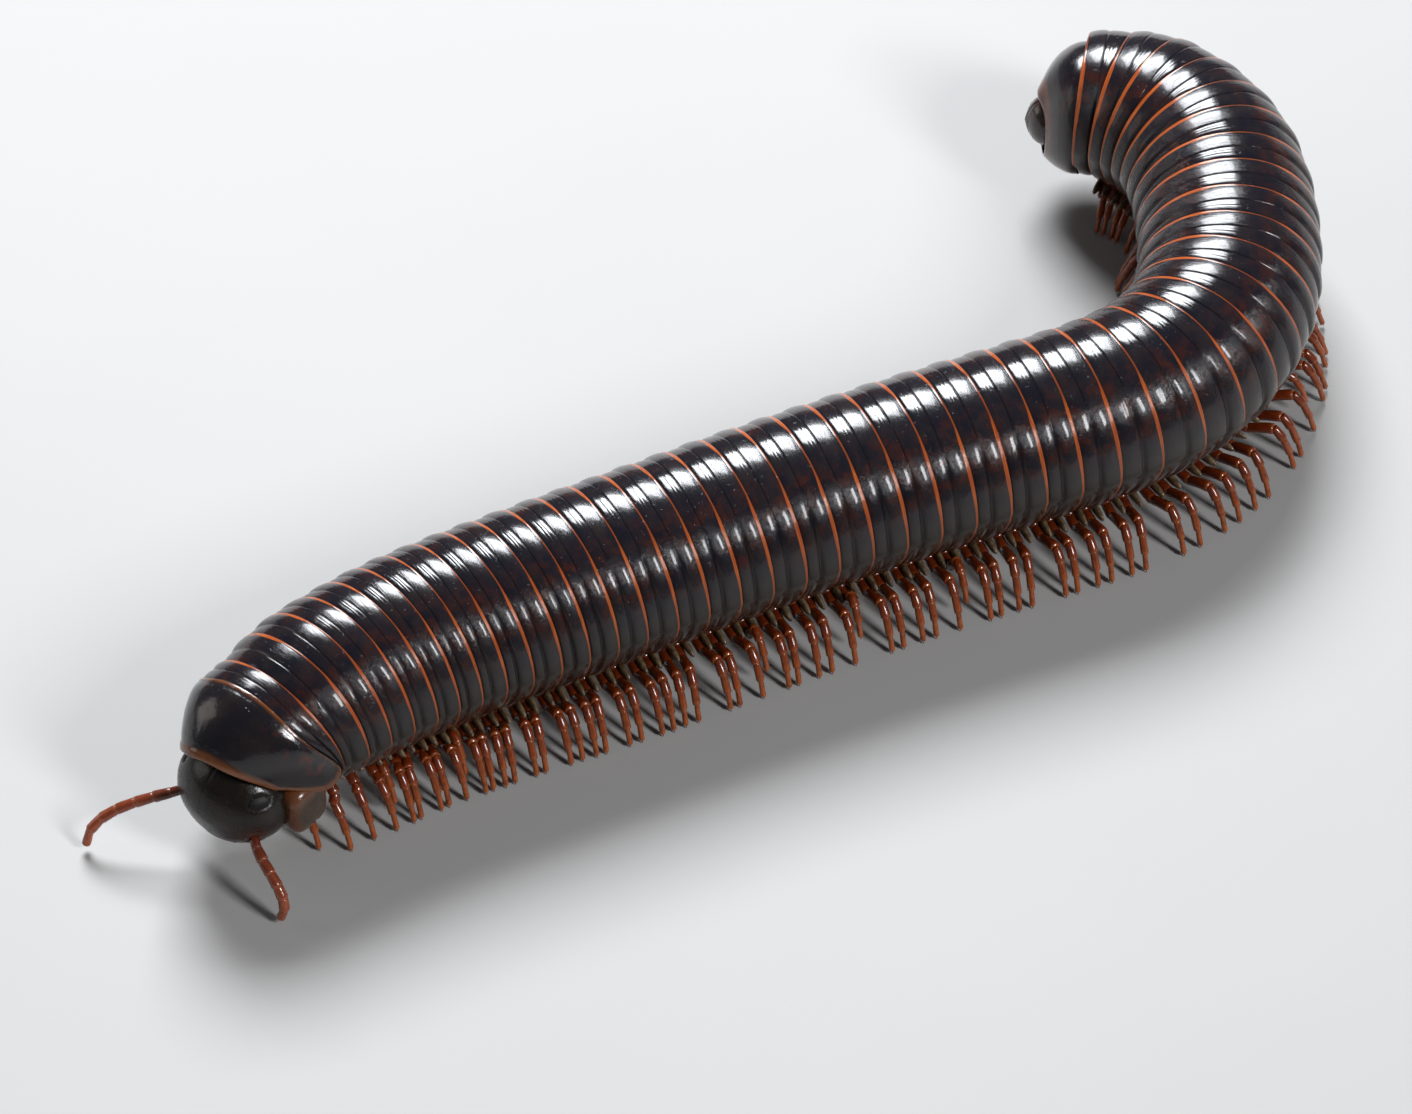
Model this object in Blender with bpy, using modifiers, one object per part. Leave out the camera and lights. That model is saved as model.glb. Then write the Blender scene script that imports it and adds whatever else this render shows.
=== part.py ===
"""A large round-backed millipede, life size, walking on a flat floor with its tail curled to its right."""

import math
import random

import bmesh
import bpy
import numpy as np
from mathutils import Matrix, Vector

MM = 0.001
SEED = 11
JOINT_GAP = 0.3

# Plan of the body: its axis starts under the rear margin of the first ring behind the collum
START = (-23.38, -21.96)
START_HEADING = 50.5
# Each turn is its middle and its length along the body, and its degrees to the animal's right
TURNS = ((3.9, 22.2, -24.5), (33.3, 22.2, -4.0), (56.1, 21.1, 68.0), (77.2, 24.4, 110.0))
AXIS_HEIGHT = 6.89
AXIS_DROP = 0.6

# Rings: the margin's number and the size there
RING_COUNT = 43
LENGTHS = ((1, 1.69), (6, 1.44), (12, 1.82), (20, 2.04), (28, 2.11), (37, 2.13), (44, 1.89))
RADII = ((0, 4.44), (1, 4.5), (2, 4.8), (3, 4.96), (6, 5.08), (12, 5.14), (38, 5.14), (41, 4.88), (43, 4.2),
         (44, 3.57))
BELLY = ((0, 0.4), (3, 0.55), (8, 0.86), (44, 0.86))
PINCH = ((0, 0.45), (3, 0.3), (8, 0.22), (44, 0.22))
FIRST_MARGIN_TOP = -1.55
# How far a section's top stands ahead of its place, how far the section leans back at its sides and how
# late it does so, and how far its left side is turned back, because the animal looks to its left
TOP_SHIFTS = ((0, -0.17), (1, -0.31), (2, -0.08), (3, 0.0), (9, 0.1), (12, 0.05), (15, -0.1), (41, -0.1),
              (43, 0.0))
LEANS = ((0, 1.4), (1, 0.73), (2, 0.35), (3, 0.1), (41, 0.1), (43, 0.0))
LEAN_POWERS = ((0, 3.0), (1, 1.5), (2, 1.0), (44, 1.0))
SWINGS = ((0, 0.38), (1, 0.4), (3, 0.6), (5, 0.7), (10, 0.68), (13, 0.3), (17, 0.12), (24, 0.0), (44, 0.0))
LEAN_END = 95.0
FORE_BAND = (0.03, -0.22)
HIND_BAND = (0.52, -0.02)
REAR_RIM = (0.94, 0.06)
SIDES = 20

# The last ring of each length of the trunk
TRUNK_ENDS = (5, 10, 15, 20, 25, 28, 31, 35, 39, 43)

# Legs: half of one pair, out from the middle plane and up from the floor
HIP_SPREAD = 0.32
HIP_TURN = 0.4
HIP_SINK = 0.75
COXA_REACH = 0.52
COXA_HEIGHT = 1.95
KNEE_BACK = 1.25
KNEE_HEIGHT = 2.65
ANKLE_HEIGHT = 0.4
LEG_RADII = (0.36, 0.36, 0.34, 0.27, 0.17)
FOOT_REACH = ((1, 3.2), (2, 4.4), (4, 4.9), (8, 5.35), (14, 5.9), (34, 5.9), (40, 5.4), (42, 4.8))
INNER_REACH = 0.42
COXA_SHARE = 0.15
KNEE_SHARE = 0.7
HIP_PLACES = (0.30, 0.74)
FOOT_PLACES = (0.33, 0.70)
SINGLE_HIP_PLACES = (1.3, 0.7, 0.5)
LAST_LEG_RING = 42
WAVE_RINGS = 3.2
WAVE_SWING = 0.2
BUNCHING = 0.94
LIFT = 1.0
LIFT_REACH = 0.8
LIFT_KNEE = 0.4
LIFTED_PHASE = 0.8
FOOT_JITTER = 0.06

# Head: an egg whose middle lies ahead of the first ring, under the collum
HEAD_BACK = -3.1
HEAD_HEIGHT = 4.5
HEAD_FRONT = 2.5
HEAD_REAR = 2.75
HEAD_HALF_WIDTH = 3.3
HEAD_CROWN = 2.9
HEAD_CHIN = 2.6
HEAD_TAPER = 0.18
HEAD_SEGMENTS = 24
HEAD_RINGS = 14

# Places on the head: ahead, to the side and up from its middle
EYE_PLACE = (0.9, 2.45, 1.6)
EYE_HALF_SIZES = (0.62, 0.4, 0.42)
EYE_SINK = 0.28
ANTENNA_PLACE = (1.08, 1.65, -0.65)
CHEEK_PLACE = (-1.75, 3.15, -0.1)
CHEEK_HALF_SIZES = (1.35, 0.85, 1.6)
CHIN_PLACE = (-0.6, 0.0, -2.3)
CHIN_HALF_SIZES = (1.5, 1.8, 1.0)

# Antennae: their articles' swellings and necks, and the places that each passes
ARTICLES = 7
ARTICLE_RADIUS = 0.32
NECK_RADIUS = 0.25
ARTICLE_SWELLS = (0.45, 0.8)
LAST_ARTICLE = 0.9
NEAR_ANTENNA = ((0.0, 0.0, 0.0), (0.6, 0.7, 0.0), (0.6, 3.5, -1.1), (0.8, 2.38, -3.15))
FAR_ANTENNA = ((0.0, 0.0, 0.0), (0.6, 0.9, 0.0), (3.4, 3.27, -0.74), (3.85, 3.08, -3.15))

# Collum: a shield whose arches shrink towards the head, each with its span to either side in degrees
COLLUM_PLACES = (-1.95, -2.7, -3.55, -4.28, -4.92)
COLLUM_RADII = (4.4, 4.2, 3.88, 3.52, 3.12)
COLLUM_HEIGHTS = (6.33, 6.22, 5.98, 5.55, 5.03)
COLLUM_LEANS = (1.5, 1.75, 2.0, 2.2, 2.35)
COLLUM_LEAN_POWERS = (3.0, 2.6, 2.2, 1.8, 1.5)
COLLUM_SWINGS = (0.38, 0.36, 0.36, 0.4, 0.48)
COLLUM_SPANS = (88.0, 96.0, 94.0, 83.0, 63.0)
COLLUM_THICKNESS = 0.5
COLLUM_COLUMNS = 20

# Telson: place behind the last ring, and radius there
TELSON_PROFILE = ((0.0, 3.75), (0.9, 3.55), (1.7, 2.95), (2.2, 2.1))
TELSON_BELLY = 0.95
VALVE_HALF_SIZES = (1.0, 0.62, 1.55)
VALVE_STATIONS = (0.0, 0.45, 0.8, 0.96)
VALVE_POINTS = 11

# Looks: colour and roughness
SHELL = ((0.018, 0.014, 0.018, 1.0), 0.25)
HEAD_SHELL = ((0.03, 0.02, 0.018, 1.0), 0.28)
CHEEK_SHELL = ((0.12, 0.05, 0.025, 1.0), 0.35)
EYE = ((0.004, 0.004, 0.005, 1.0), 0.2)
ANTENNA = ((0.16, 0.035, 0.015, 1.0), 0.35)


def named_size(knots, place):
    """Reads a size that changes along the body, between the places where it is named."""
    return float(np.interp(place, [k[0] for k in knots], [k[1] for k in knots]))


def heading(distance):
    """The way the body's axis points at a distance along it, in radians from +X."""
    degrees = START_HEADING
    for middle, length, turn in TURNS:
        share = min(max((distance - middle) / length + 0.5, 0.0), 1.0)
        degrees += turn * share * share * (3.0 - 2.0 * share)
    return math.radians(degrees)


def measure_axis(first=-8.0, last=92.0, step=0.05):
    """Sums up the headings into the axis: distances with their x and y."""
    distances = np.arange(first, last + step / 2.0, step)
    headings = np.array([heading(d) for d in distances])
    middles = (headings[1:] + headings[:-1]) / 2.0
    across = np.concatenate([[0.0], np.cumsum(np.cos(middles) * step)])
    away = np.concatenate([[0.0], np.cumsum(np.sin(middles) * step)])
    across += START[0] - np.interp(0.0, distances, across)
    away += START[1] - np.interp(0.0, distances, away)
    return distances, across, away


AXIS = measure_axis()


def place(distance, side=0.0, up=0.0):
    """A point in metres: along the axis, to the animal's left and up from the floor, all in millimetres."""
    x = np.interp(distance, AXIS[0], AXIS[1])
    y = np.interp(distance, AXIS[0], AXIS[2])
    angle = heading(distance)
    return Vector((x + side * math.sin(angle), y - side * math.cos(angle), up)) * MM


def margin(number):
    """The distance along the axis of a ring's rear margin."""
    if number <= 1:
        return FIRST_MARGIN_TOP * (1 - number)
    return sum(named_size(LENGTHS, k + 0.5) for k in range(1, number))


MARGINS = [margin(k) for k in range(RING_COUNT + 1)]


def axis_height(radius):
    """Where the body narrows, its axis comes down a little."""
    widest = max(r for _, r in RADII)
    return AXIS_HEIGHT - (widest - radius) * AXIS_DROP


def bend(distance, step=0.5):
    """How fast the body turns to its right, in radians a millimetre."""
    return (heading(distance + step) - heading(distance - step)) / (2.0 * step)


def make_material(name, look):
    """A shell material, which is never metal."""
    colour, roughness = look
    material = bpy.data.materials.new(name)
    material.use_nodes = True
    shader = material.node_tree.nodes["Principled BSDF"]
    shader.inputs["Base Color"].default_value = colour
    shader.inputs["Roughness"].default_value = roughness
    shader.inputs["Metallic"].default_value = 0.0
    return material


def add_object(name, mesh, collection, look=None):
    piece = bpy.data.objects.new(name, mesh)
    collection.objects.link(piece)
    if look:
        mesh.materials.clear()
        mesh.materials.append(make_material(name, look))
    return piece


def mesh_from(bm, name):
    bmesh.ops.recalc_face_normals(bm, faces=bm.faces)
    mesh = bpy.data.meshes.new(name)
    bm.to_mesh(mesh)
    bm.free()
    return mesh


def applied_mesh(piece):
    """The mesh of a piece with its modifiers applied."""
    bpy.context.view_layer.update()
    evaluated = piece.evaluated_get(bpy.context.evaluated_depsgraph_get())
    return bpy.data.meshes.new_from_object(evaluated)


def keep_largest_body(mesh):
    """Drops loose scraps and sealed hollows: only the largest closed surface stays."""
    bm = bmesh.new()
    bm.from_mesh(mesh)
    left = set(bm.faces)
    bodies = []
    while left:
        body = [left.pop()]
        for face in body:
            for edge in face.edges:
                for other in edge.link_faces:
                    if other in left:
                        left.discard(other)
                        body.append(other)
        bodies.append(body)
    bodies.sort(key=len, reverse=True)
    for body in bodies[1:]:
        bmesh.ops.delete(bm, geom=body, context="FACES")
    bmesh.ops.delete(bm, geom=[v for v in bm.verts if not v.link_faces], context="VERTS")
    bm.to_mesh(mesh)
    bm.free()


def finish(piece, crease_degrees=40.0):
    """Shades a piece smooth, apart from its sharp edges."""
    piece.data.shade_smooth()
    piece.data.set_sharp_from_angle(angle=math.radians(crease_degrees))


def combine(piece, others, operation, solver="EXACT"):
    """Joins a collection of closed pieces to a piece, or cuts them out of it, and removes them."""
    tools = bpy.data.collections.new(piece.name + "_tools")
    bpy.context.scene.collection.children.link(tools)
    for other in others:
        for holder in list(other.users_collection):
            holder.objects.unlink(other)
        tools.objects.link(other)
    modifier = piece.modifiers.new("Combine", "BOOLEAN")
    modifier.operation = operation
    modifier.operand_type = "COLLECTION"
    modifier.collection = tools
    modifier.solver = solver
    mesh = applied_mesh(piece)
    piece.modifiers.remove(modifier)
    material = piece.data.materials[0] if piece.data.materials else None
    piece.data = mesh
    piece.data.materials.clear()
    if material:
        piece.data.materials.append(material)
    for other in others:
        bpy.data.objects.remove(other)
    bpy.data.collections.remove(tools)
    keep_largest_body(piece.data)


def lean_at(angle):
    """How far a leaning section has come back at an angle from its top, from 0 to 1."""
    turned = abs((math.degrees(angle) + 180.0) % 360.0 - 180.0)
    share = min(turned / LEAN_END, 1.0)
    return share * share * (3.0 - 2.0 * share)


def arch_points(distance, radius, belly, pinch=0.0, lean=0.0, power=1.0, swing=0.0):
    """One section of the trunk: a circle with a flat belly, which may lean back at its sides and turn."""
    points = []
    for k in range(SIDES):
        angle = 2.0 * math.pi * k / SIDES
        up = max(math.cos(angle), -belly)
        side = math.sin(angle) * (1.0 + pinch * min(up, 0.0))
        back = distance + lean * lean_at(angle) ** power + swing * math.sin(angle)
        points.append(place(back, side * radius, axis_height(radius) + up * radius))
    return points


def loft(sections, name):
    """A closed body through sections of as many points each; its ends are fans about their middles."""
    bm = bmesh.new()
    rows = [[bm.verts.new(p) for p in section] for section in sections]
    for near, far in zip(rows, rows[1:]):
        for k in range(len(near)):
            n = (k + 1) % len(near)
            bm.faces.new((near[k], near[n], far[n], far[k]))
    for row in (rows[0], rows[-1]):
        middle = sum((vertex.co for vertex in row), Vector()) / len(row)
        hub = bm.verts.new(middle)
        for k in range(len(row)):
            bm.faces.new((row[k], row[(k + 1) % len(row)], hub))
    return mesh_from(bm, name)


def trunk_sections(first, last):
    """Three sections a ring, from the narrow fore band to the raised rear rim."""
    sections = []
    for ring in range(first, last + 1):
        start = MARGINS[ring - 1]
        length = MARGINS[ring] - start
        for k, (share, rise) in enumerate((FORE_BAND, HIND_BAND, REAR_RIM)):
            number = ring - 1 + share
            distance = start + share * length
            if ring == first and k == 0:
                distance = start + (JOINT_GAP if ring == 1 else JOINT_GAP / 2.0)
            if ring == last and k == 2:
                distance = start + length - JOINT_GAP / 2.0
            radius = named_size(RADII, number) + rise
            distance += named_size(TOP_SHIFTS, number)
            shape = [named_size(size, number) for size in (BELLY, PINCH, LEANS, LEAN_POWERS, SWINGS)]
            sections.append(arch_points(distance, radius, *shape))
    return sections


def leg_curve(name, ring, side, hip_place, foot_place, lift, middle, scatter):
    """One leg as a tapered tube from inside the belly to the floor; side is 1 for left, -1 for right."""
    start = MARGINS[ring - 1]
    length = MARGINS[ring] - start
    hip = start + hip_place * length + side * HIP_TURN * named_size(SWINGS, ring)
    swing = WAVE_SWING * math.sin(2.0 * math.pi * ring / WAVE_RINGS + (side - 1))
    foot = start + foot_place * length + swing + scatter.uniform(-FOOT_JITTER, FOOT_JITTER)
    foot = middle + (foot - middle) * BUNCHING
    reach = named_size(FOOT_REACH, ring)
    turn = bend(foot) * -side
    if turn > 0.0:
        reach = min(reach, INNER_REACH / turn)
    reach -= LIFT_REACH * lift
    radius = named_size(RADII, ring)
    belly_height = axis_height(radius) - named_size(BELLY, ring) * radius
    hip_height = belly_height + HIP_SINK
    coxa_height = min(COXA_HEIGHT + 0.5 * (belly_height - COXA_HEIGHT - 0.5), belly_height - 0.5)
    floor = LIFT * lift
    knee_height = KNEE_HEIGHT + LIFT_KNEE * floor
    points = (
        place(hip, side * HIP_SPREAD * radius, hip_height),
        place(hip + COXA_SHARE * (foot - hip), side * COXA_REACH * radius, coxa_height),
        place(hip + KNEE_SHARE * (foot - hip), side * (reach - KNEE_BACK), knee_height),
        place(foot, side * reach, floor + ANKLE_HEIGHT),
        place(foot, side * reach, floor),
    )
    curve = bpy.data.curves.new(name, "CURVE")
    curve.dimensions = "3D"
    curve.bevel_depth = MM
    curve.bevel_resolution = 0
    curve.use_fill_caps = True
    spline = curve.splines.new("POLY")
    spline.points.add(len(points) - 1)
    for node, point, thickness in zip(spline.points, points, LEG_RADII):
        node.co = (*point, 1.0)
        node.radius = thickness
    return curve


def solid_from_curve(name, curve):
    """A closed mesh object from a tube: its loose caps are welded."""
    holder = bpy.data.objects.new(name, curve)
    bpy.context.scene.collection.objects.link(holder)
    mesh = applied_mesh(holder)
    bm = bmesh.new()
    bm.from_mesh(mesh)
    bmesh.ops.remove_doubles(bm, verts=bm.verts, dist=1e-7)
    bmesh.ops.recalc_face_normals(bm, faces=bm.faces)
    bm.to_mesh(mesh)
    bm.free()
    bpy.data.objects.remove(holder)
    bpy.data.curves.remove(curve)
    solid = bpy.data.objects.new(name, mesh)
    bpy.context.scene.collection.objects.link(solid)
    return solid


def legs_of(first, last, scatter):
    """The legs of one length of the trunk, on both sides."""
    middle = (MARGINS[first - 1] + MARGINS[last]) / 2.0
    legs = []
    for ring in range(first, min(last, LAST_LEG_RING) + 1):
        pairs = 1 if ring <= len(SINGLE_HIP_PLACES) else 2
        for pair in range(pairs):
            hip_place = SINGLE_HIP_PLACES[ring - 1] if pairs == 1 else HIP_PLACES[pair]
            foot_place = 0.5 if pairs == 1 else FOOT_PLACES[pair]
            for side in (1, -1):
                phase = math.sin(2.0 * math.pi * ring / WAVE_RINGS + (side - 1))
                lift = 1.0 if pair == 1 and phase > LIFTED_PHASE else 0.0
                name = f"leg_{ring}_{pair}_{side}"
                curve = leg_curve(name, ring, side, hip_place, foot_place, lift, middle, scatter)
                legs.append(solid_from_curve(name, curve))
    return legs


def build_trunk(collection):
    """Ten lengths of the trunk, each one body with the legs that grow from it."""
    scatter = random.Random(SEED)
    first = 1
    for number, last in enumerate(TRUNK_ENDS, 1):
        name = f"trunk_{number:02d}"
        length = add_object(name, loft(trunk_sections(first, last), name), collection, SHELL)
        solver = "MANIFOLD" if number == len(TRUNK_ENDS) else "EXACT"
        combine(length, legs_of(first, last, scatter), "UNION", solver)
        finish(length)
        first = last + 1


def head_frame():
    """The head's own frame: X ahead, Y to the animal's left and Z up, in millimetres."""
    angle = heading(HEAD_BACK) + math.pi
    turn = Matrix.Rotation(angle, 4, "Z")
    return Matrix.Translation(place(HEAD_BACK, 0.0, HEAD_HEIGHT)) @ turn @ Matrix.Scale(MM, 4)


def head_point(direction, more=0.0):
    """The point of the head's surface in a direction from its middle, or so much further out."""
    ahead, side, up = direction.normalized()
    x = ahead * ((HEAD_FRONT if ahead > 0 else HEAD_REAR) + more)
    z = up * ((HEAD_CROWN if up > 0 else HEAD_CHIN) + more)
    narrow = 1.0 - HEAD_TAPER * max(-up, 0.0) ** 2
    return Vector((x, side * (HEAD_HALF_WIDTH * narrow + more), z))


def head_like(name, more, segments, rings):
    """A closed egg of the head's shape, larger all round by a distance."""
    bm = bmesh.new()
    bmesh.ops.create_uvsphere(bm, u_segments=segments, v_segments=rings, radius=1.0)
    for vertex in bm.verts:
        vertex.co = head_point(vertex.co, more)
    bmesh.ops.transform(bm, matrix=head_frame(), verts=bm.verts)
    return mesh_from(bm, name)


def surface_frame(spot):
    """The frame on the head's surface nearest a named place: Z outward, with X level."""
    base = head_point(Vector(spot))
    step = 0.02
    on = Vector((step, 0.0, 0.0))
    over = Vector((0.0, 0.0, step))
    ahead = head_point(Vector(spot) + on) - head_point(Vector(spot) - on)
    above = head_point(Vector(spot) + over) - head_point(Vector(spot) - over)
    outward = ahead.cross(above).normalized()
    if outward.dot(base) < 0.0:
        outward.negate()
    level = Vector((0.0, 0.0, 1.0)).cross(outward).normalized()
    upright = outward.cross(level)
    return Matrix.Translation(base) @ Matrix((level, upright, outward)).transposed().to_4x4()


def ellipsoid(name, half_sizes, frame, more=0.0, segments=12, rings=8):
    bm = bmesh.new()
    bmesh.ops.create_uvsphere(bm, u_segments=segments, v_segments=rings, radius=1.0)
    sizes = [s + more for s in half_sizes]
    bmesh.ops.transform(bm, matrix=frame @ Matrix.Diagonal((*sizes, 1.0)), verts=bm.verts)
    return mesh_from(bm, name)


def mirrored(spot, side):
    return (spot[0], spot[1] * side, spot[2])


def eye_frame(side):
    """The middle of an eye, sunk a little into the head."""
    seat = surface_frame(mirrored(EYE_PLACE, side))
    return head_frame() @ seat @ Matrix.Translation((0.0, 0.0, -EYE_SINK))


def build_eyes(collection):
    for side, word in ((1, "left"), (-1, "right")):
        mesh = ellipsoid("eye", EYE_HALF_SIZES, eye_frame(side))
        eye = add_object(f"eye_{word}", mesh, collection, EYE)
        finish(eye)


def head_clearance(collection):
    """What a piece beside the head is cut with, to stay clear of it."""
    mesh = head_like("clearance", JOINT_GAP, HEAD_SEGMENTS, HEAD_RINGS)
    return add_object("clearance", mesh, collection)


def build_head(collection):
    mesh = head_like("head", 0.0, HEAD_SEGMENTS, HEAD_RINGS)
    head = add_object("head", mesh, collection, HEAD_SHELL)
    sockets = []
    for side in (1, -1):
        mesh = ellipsoid("socket", EYE_HALF_SIZES, eye_frame(side), more=JOINT_GAP)
        sockets.append(add_object(f"socket_{side}", mesh, collection))
    combine(head, sockets, "DIFFERENCE")
    finish(head)


def build_cheeks(collection):
    for side, word in ((1, "left"), (-1, "right")):
        frame = head_frame() @ Matrix.Translation(mirrored(CHEEK_PLACE, side))
        mesh = ellipsoid("cheek", CHEEK_HALF_SIZES, frame)
        cheek = add_object(f"cheek_{word}", mesh, collection, CHEEK_SHELL)
        combine(cheek, [head_clearance(collection)], "DIFFERENCE")
        finish(cheek)


def build_chin(collection):
    frame = head_frame() @ Matrix.Translation(CHIN_PLACE)
    mesh = ellipsoid("chin", CHIN_HALF_SIZES, frame)
    chin = add_object("chin_plate", mesh, collection, CHEEK_SHELL)
    combine(chin, [head_clearance(collection)], "DIFFERENCE")
    finish(chin)


def bezier_point(stops, share):
    a, b, c, d = (Vector(s) for s in stops)
    rest = 1.0 - share
    return a * rest**3 + b * 3.0 * rest**2 * share + c * 3.0 * rest * share**2 + d * share**3


def build_antenna(name, side, stops, collection):
    """A chain of bead-like articles from the head's surface to just above the floor."""
    seat = surface_frame(mirrored(ANTENNA_PLACE, side))
    outward = seat.to_3x3() @ Vector((0.0, 0.0, 1.0))
    root = seat.translation + outward * JOINT_GAP
    stops = [root + Vector(mirrored(s, side)) for s in stops]
    stops[1] = root + outward * (Vector(stops[1]) - root).length
    frame = head_frame()
    curve = bpy.data.curves.new(name, "CURVE")
    curve.dimensions = "3D"
    curve.bevel_depth = MM
    curve.bevel_resolution = 1
    curve.use_fill_caps = True
    spline = curve.splines.new("POLY")
    stations = [(0.0, NECK_RADIUS)]
    for article in range(ARTICLES):
        swelling = ARTICLE_RADIUS * (1.0 if article < ARTICLES - 1 else LAST_ARTICLE)
        for share in ARTICLE_SWELLS:
            stations.append(((article + share) / ARTICLES, swelling))
        stations.append(((article + 1.0) / ARTICLES, NECK_RADIUS))
    spline.points.add(len(stations) - 1)
    for node, (share, radius) in zip(spline.points, stations):
        node.co = (*(frame @ bezier_point(stops, share)), 1.0)
        node.radius = radius
    antenna = solid_from_curve(name, curve)
    bpy.context.scene.collection.objects.unlink(antenna)
    collection.objects.link(antenna)
    antenna.data.materials.clear()
    antenna.data.materials.append(make_material(name, ANTENNA))
    finish(antenna)


def build_collum(collection):
    """The shield over the neck: an arched shell, cut clear of the head that it covers."""
    bm = bmesh.new()
    rows = []
    leans = zip(COLLUM_LEANS, COLLUM_LEAN_POWERS, COLLUM_SWINGS)
    arches = zip(COLLUM_PLACES, COLLUM_RADII, COLLUM_HEIGHTS, COLLUM_SPANS, leans)
    for distance, radius, height, span, (lean, power, swing) in arches:
        row = []
        for k in range(COLLUM_COLUMNS + 1):
            angle = math.radians(span * (2.0 * k / COLLUM_COLUMNS - 1.0))
            back = distance + lean * lean_at(angle) ** power + swing * math.sin(angle)
            point = place(back, radius * math.sin(angle), height + radius * math.cos(angle))
            row.append(bm.verts.new(point))
        rows.append(row)
    for near, far in zip(rows, rows[1:]):
        for k in range(COLLUM_COLUMNS):
            bm.faces.new((near[k], near[k + 1], far[k + 1], far[k]))
    middle = place(HEAD_BACK, 0.0, HEAD_HEIGHT)
    mesh = mesh_from(bm, "collum")
    if sum((f.center - middle).dot(f.normal) for f in mesh.polygons) < 0.0:
        mesh.flip_normals()
    collum = add_object("collum", mesh, collection, SHELL)
    shell = collum.modifiers.new("Thickness", "SOLIDIFY")
    shell.thickness = COLLUM_THICKNESS * MM
    shell.offset = -1.0
    combine(collum, [head_clearance(collection)], "DIFFERENCE")
    collum.modifiers.clear()
    finish(collum)


def valve_section(distance, size, side, height):
    """A half oval, its flat side by the middle plane."""
    _, width, tall = VALVE_HALF_SIZES
    points = []
    for k in range(VALVE_POINTS):
        angle = math.pi * (k / (VALVE_POINTS - 1) - 0.5)
        out = JOINT_GAP / 2.0 + size * 2.0 * width * math.cos(angle)
        points.append(place(distance, side * out, height + size * tall * math.sin(angle)))
    return points


def build_telson(collection):
    """The tail's end: a rounded last ring and the two valves that close it."""
    end = MARGINS[RING_COUNT] + JOINT_GAP / 2.0
    sections = [arch_points(end + d, r, TELSON_BELLY) for d, r in TELSON_PROFILE]
    telson = add_object("telson", loft(sections, "telson"), collection, SHELL)
    finish(telson)
    back = end + TELSON_PROFILE[-1][0] + JOINT_GAP
    height = axis_height(TELSON_PROFILE[-1][1])
    for side, word in ((1, "left"), (-1, "right")):
        sections = []
        for share in VALVE_STATIONS:
            size = math.sqrt(1.0 - share * share)
            sections.append(valve_section(back + share * VALVE_HALF_SIZES[0], size, side, height))
        valve = add_object(f"anal_valve_{word}", loft(sections, "valve"), collection, SHELL)
        finish(valve)


def main():
    for piece in list(bpy.data.objects):
        bpy.data.objects.remove(piece)
    millipede = bpy.data.collections.new("millipede")
    bpy.context.scene.collection.children.link(millipede)
    build_trunk(millipede)
    build_collum(millipede)
    build_telson(millipede)
    build_head(millipede)
    build_eyes(millipede)
    build_cheeks(millipede)
    build_chin(millipede)
    build_antenna("antenna_left", 1, NEAR_ANTENNA, millipede)
    build_antenna("antenna_right", -1, FAR_ANTENNA, millipede)


main()
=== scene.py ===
"""The looks of a large round-backed millipede, life size, walking on a pale studio floor."""

import math
import random

import bpy
import numpy as np
from mathutils import Matrix, Vector

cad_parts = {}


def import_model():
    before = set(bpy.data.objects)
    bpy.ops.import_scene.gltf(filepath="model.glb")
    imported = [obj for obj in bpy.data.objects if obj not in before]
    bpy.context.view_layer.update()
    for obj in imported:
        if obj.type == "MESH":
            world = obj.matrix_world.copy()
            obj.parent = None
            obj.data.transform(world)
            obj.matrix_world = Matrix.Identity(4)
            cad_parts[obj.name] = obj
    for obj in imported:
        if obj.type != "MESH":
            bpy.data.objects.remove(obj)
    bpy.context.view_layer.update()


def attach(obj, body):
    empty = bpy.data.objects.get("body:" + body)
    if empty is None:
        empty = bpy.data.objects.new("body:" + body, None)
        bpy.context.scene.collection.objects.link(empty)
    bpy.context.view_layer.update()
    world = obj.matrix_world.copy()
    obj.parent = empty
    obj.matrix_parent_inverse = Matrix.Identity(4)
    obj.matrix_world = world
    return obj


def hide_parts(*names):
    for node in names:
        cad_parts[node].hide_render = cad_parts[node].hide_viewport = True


MM = 0.001
SEED = 7
SIDES = ((1, "left"), (-1, "right"))

# Plan of the body: its axis starts under the first ring's rear margin
START = (-23.38, -21.96)
START_HEADING = 50.5
# Turns: middle and length along the body, and degrees to the animal's right
TURNS = ((3.9, 22.2, -24.5), (33.3, 22.2, -4.0), (56.1, 21.1, 68.0), (77.2, 24.4, 110.0))
AXIS_HEIGHT = 6.89
AXIS_DROP = 0.6

# Rings: the margin's number and the size there. How deep the belly reaches and how far the lower sides draw
# in are shares of the radius
RING_COUNT = 43
LENGTHS = ((1, 1.69), (6, 1.44), (12, 1.82), (20, 2.04), (28, 2.11), (37, 2.13), (44, 1.89))
RADII = ((0, 4.44), (1, 4.5), (2, 4.8), (3, 4.96), (6, 5.08), (12, 5.14), (38, 5.14), (41, 4.88), (43, 4.2),
         (44, 3.57))
BELLY = ((0, 0.4), (3, 0.55), (8, 0.86), (44, 0.86))
PINCH = ((0, 0.45), (3, 0.3), (8, 0.22), (44, 0.22))
FIRST_MARGIN_TOP = -1.55
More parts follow.
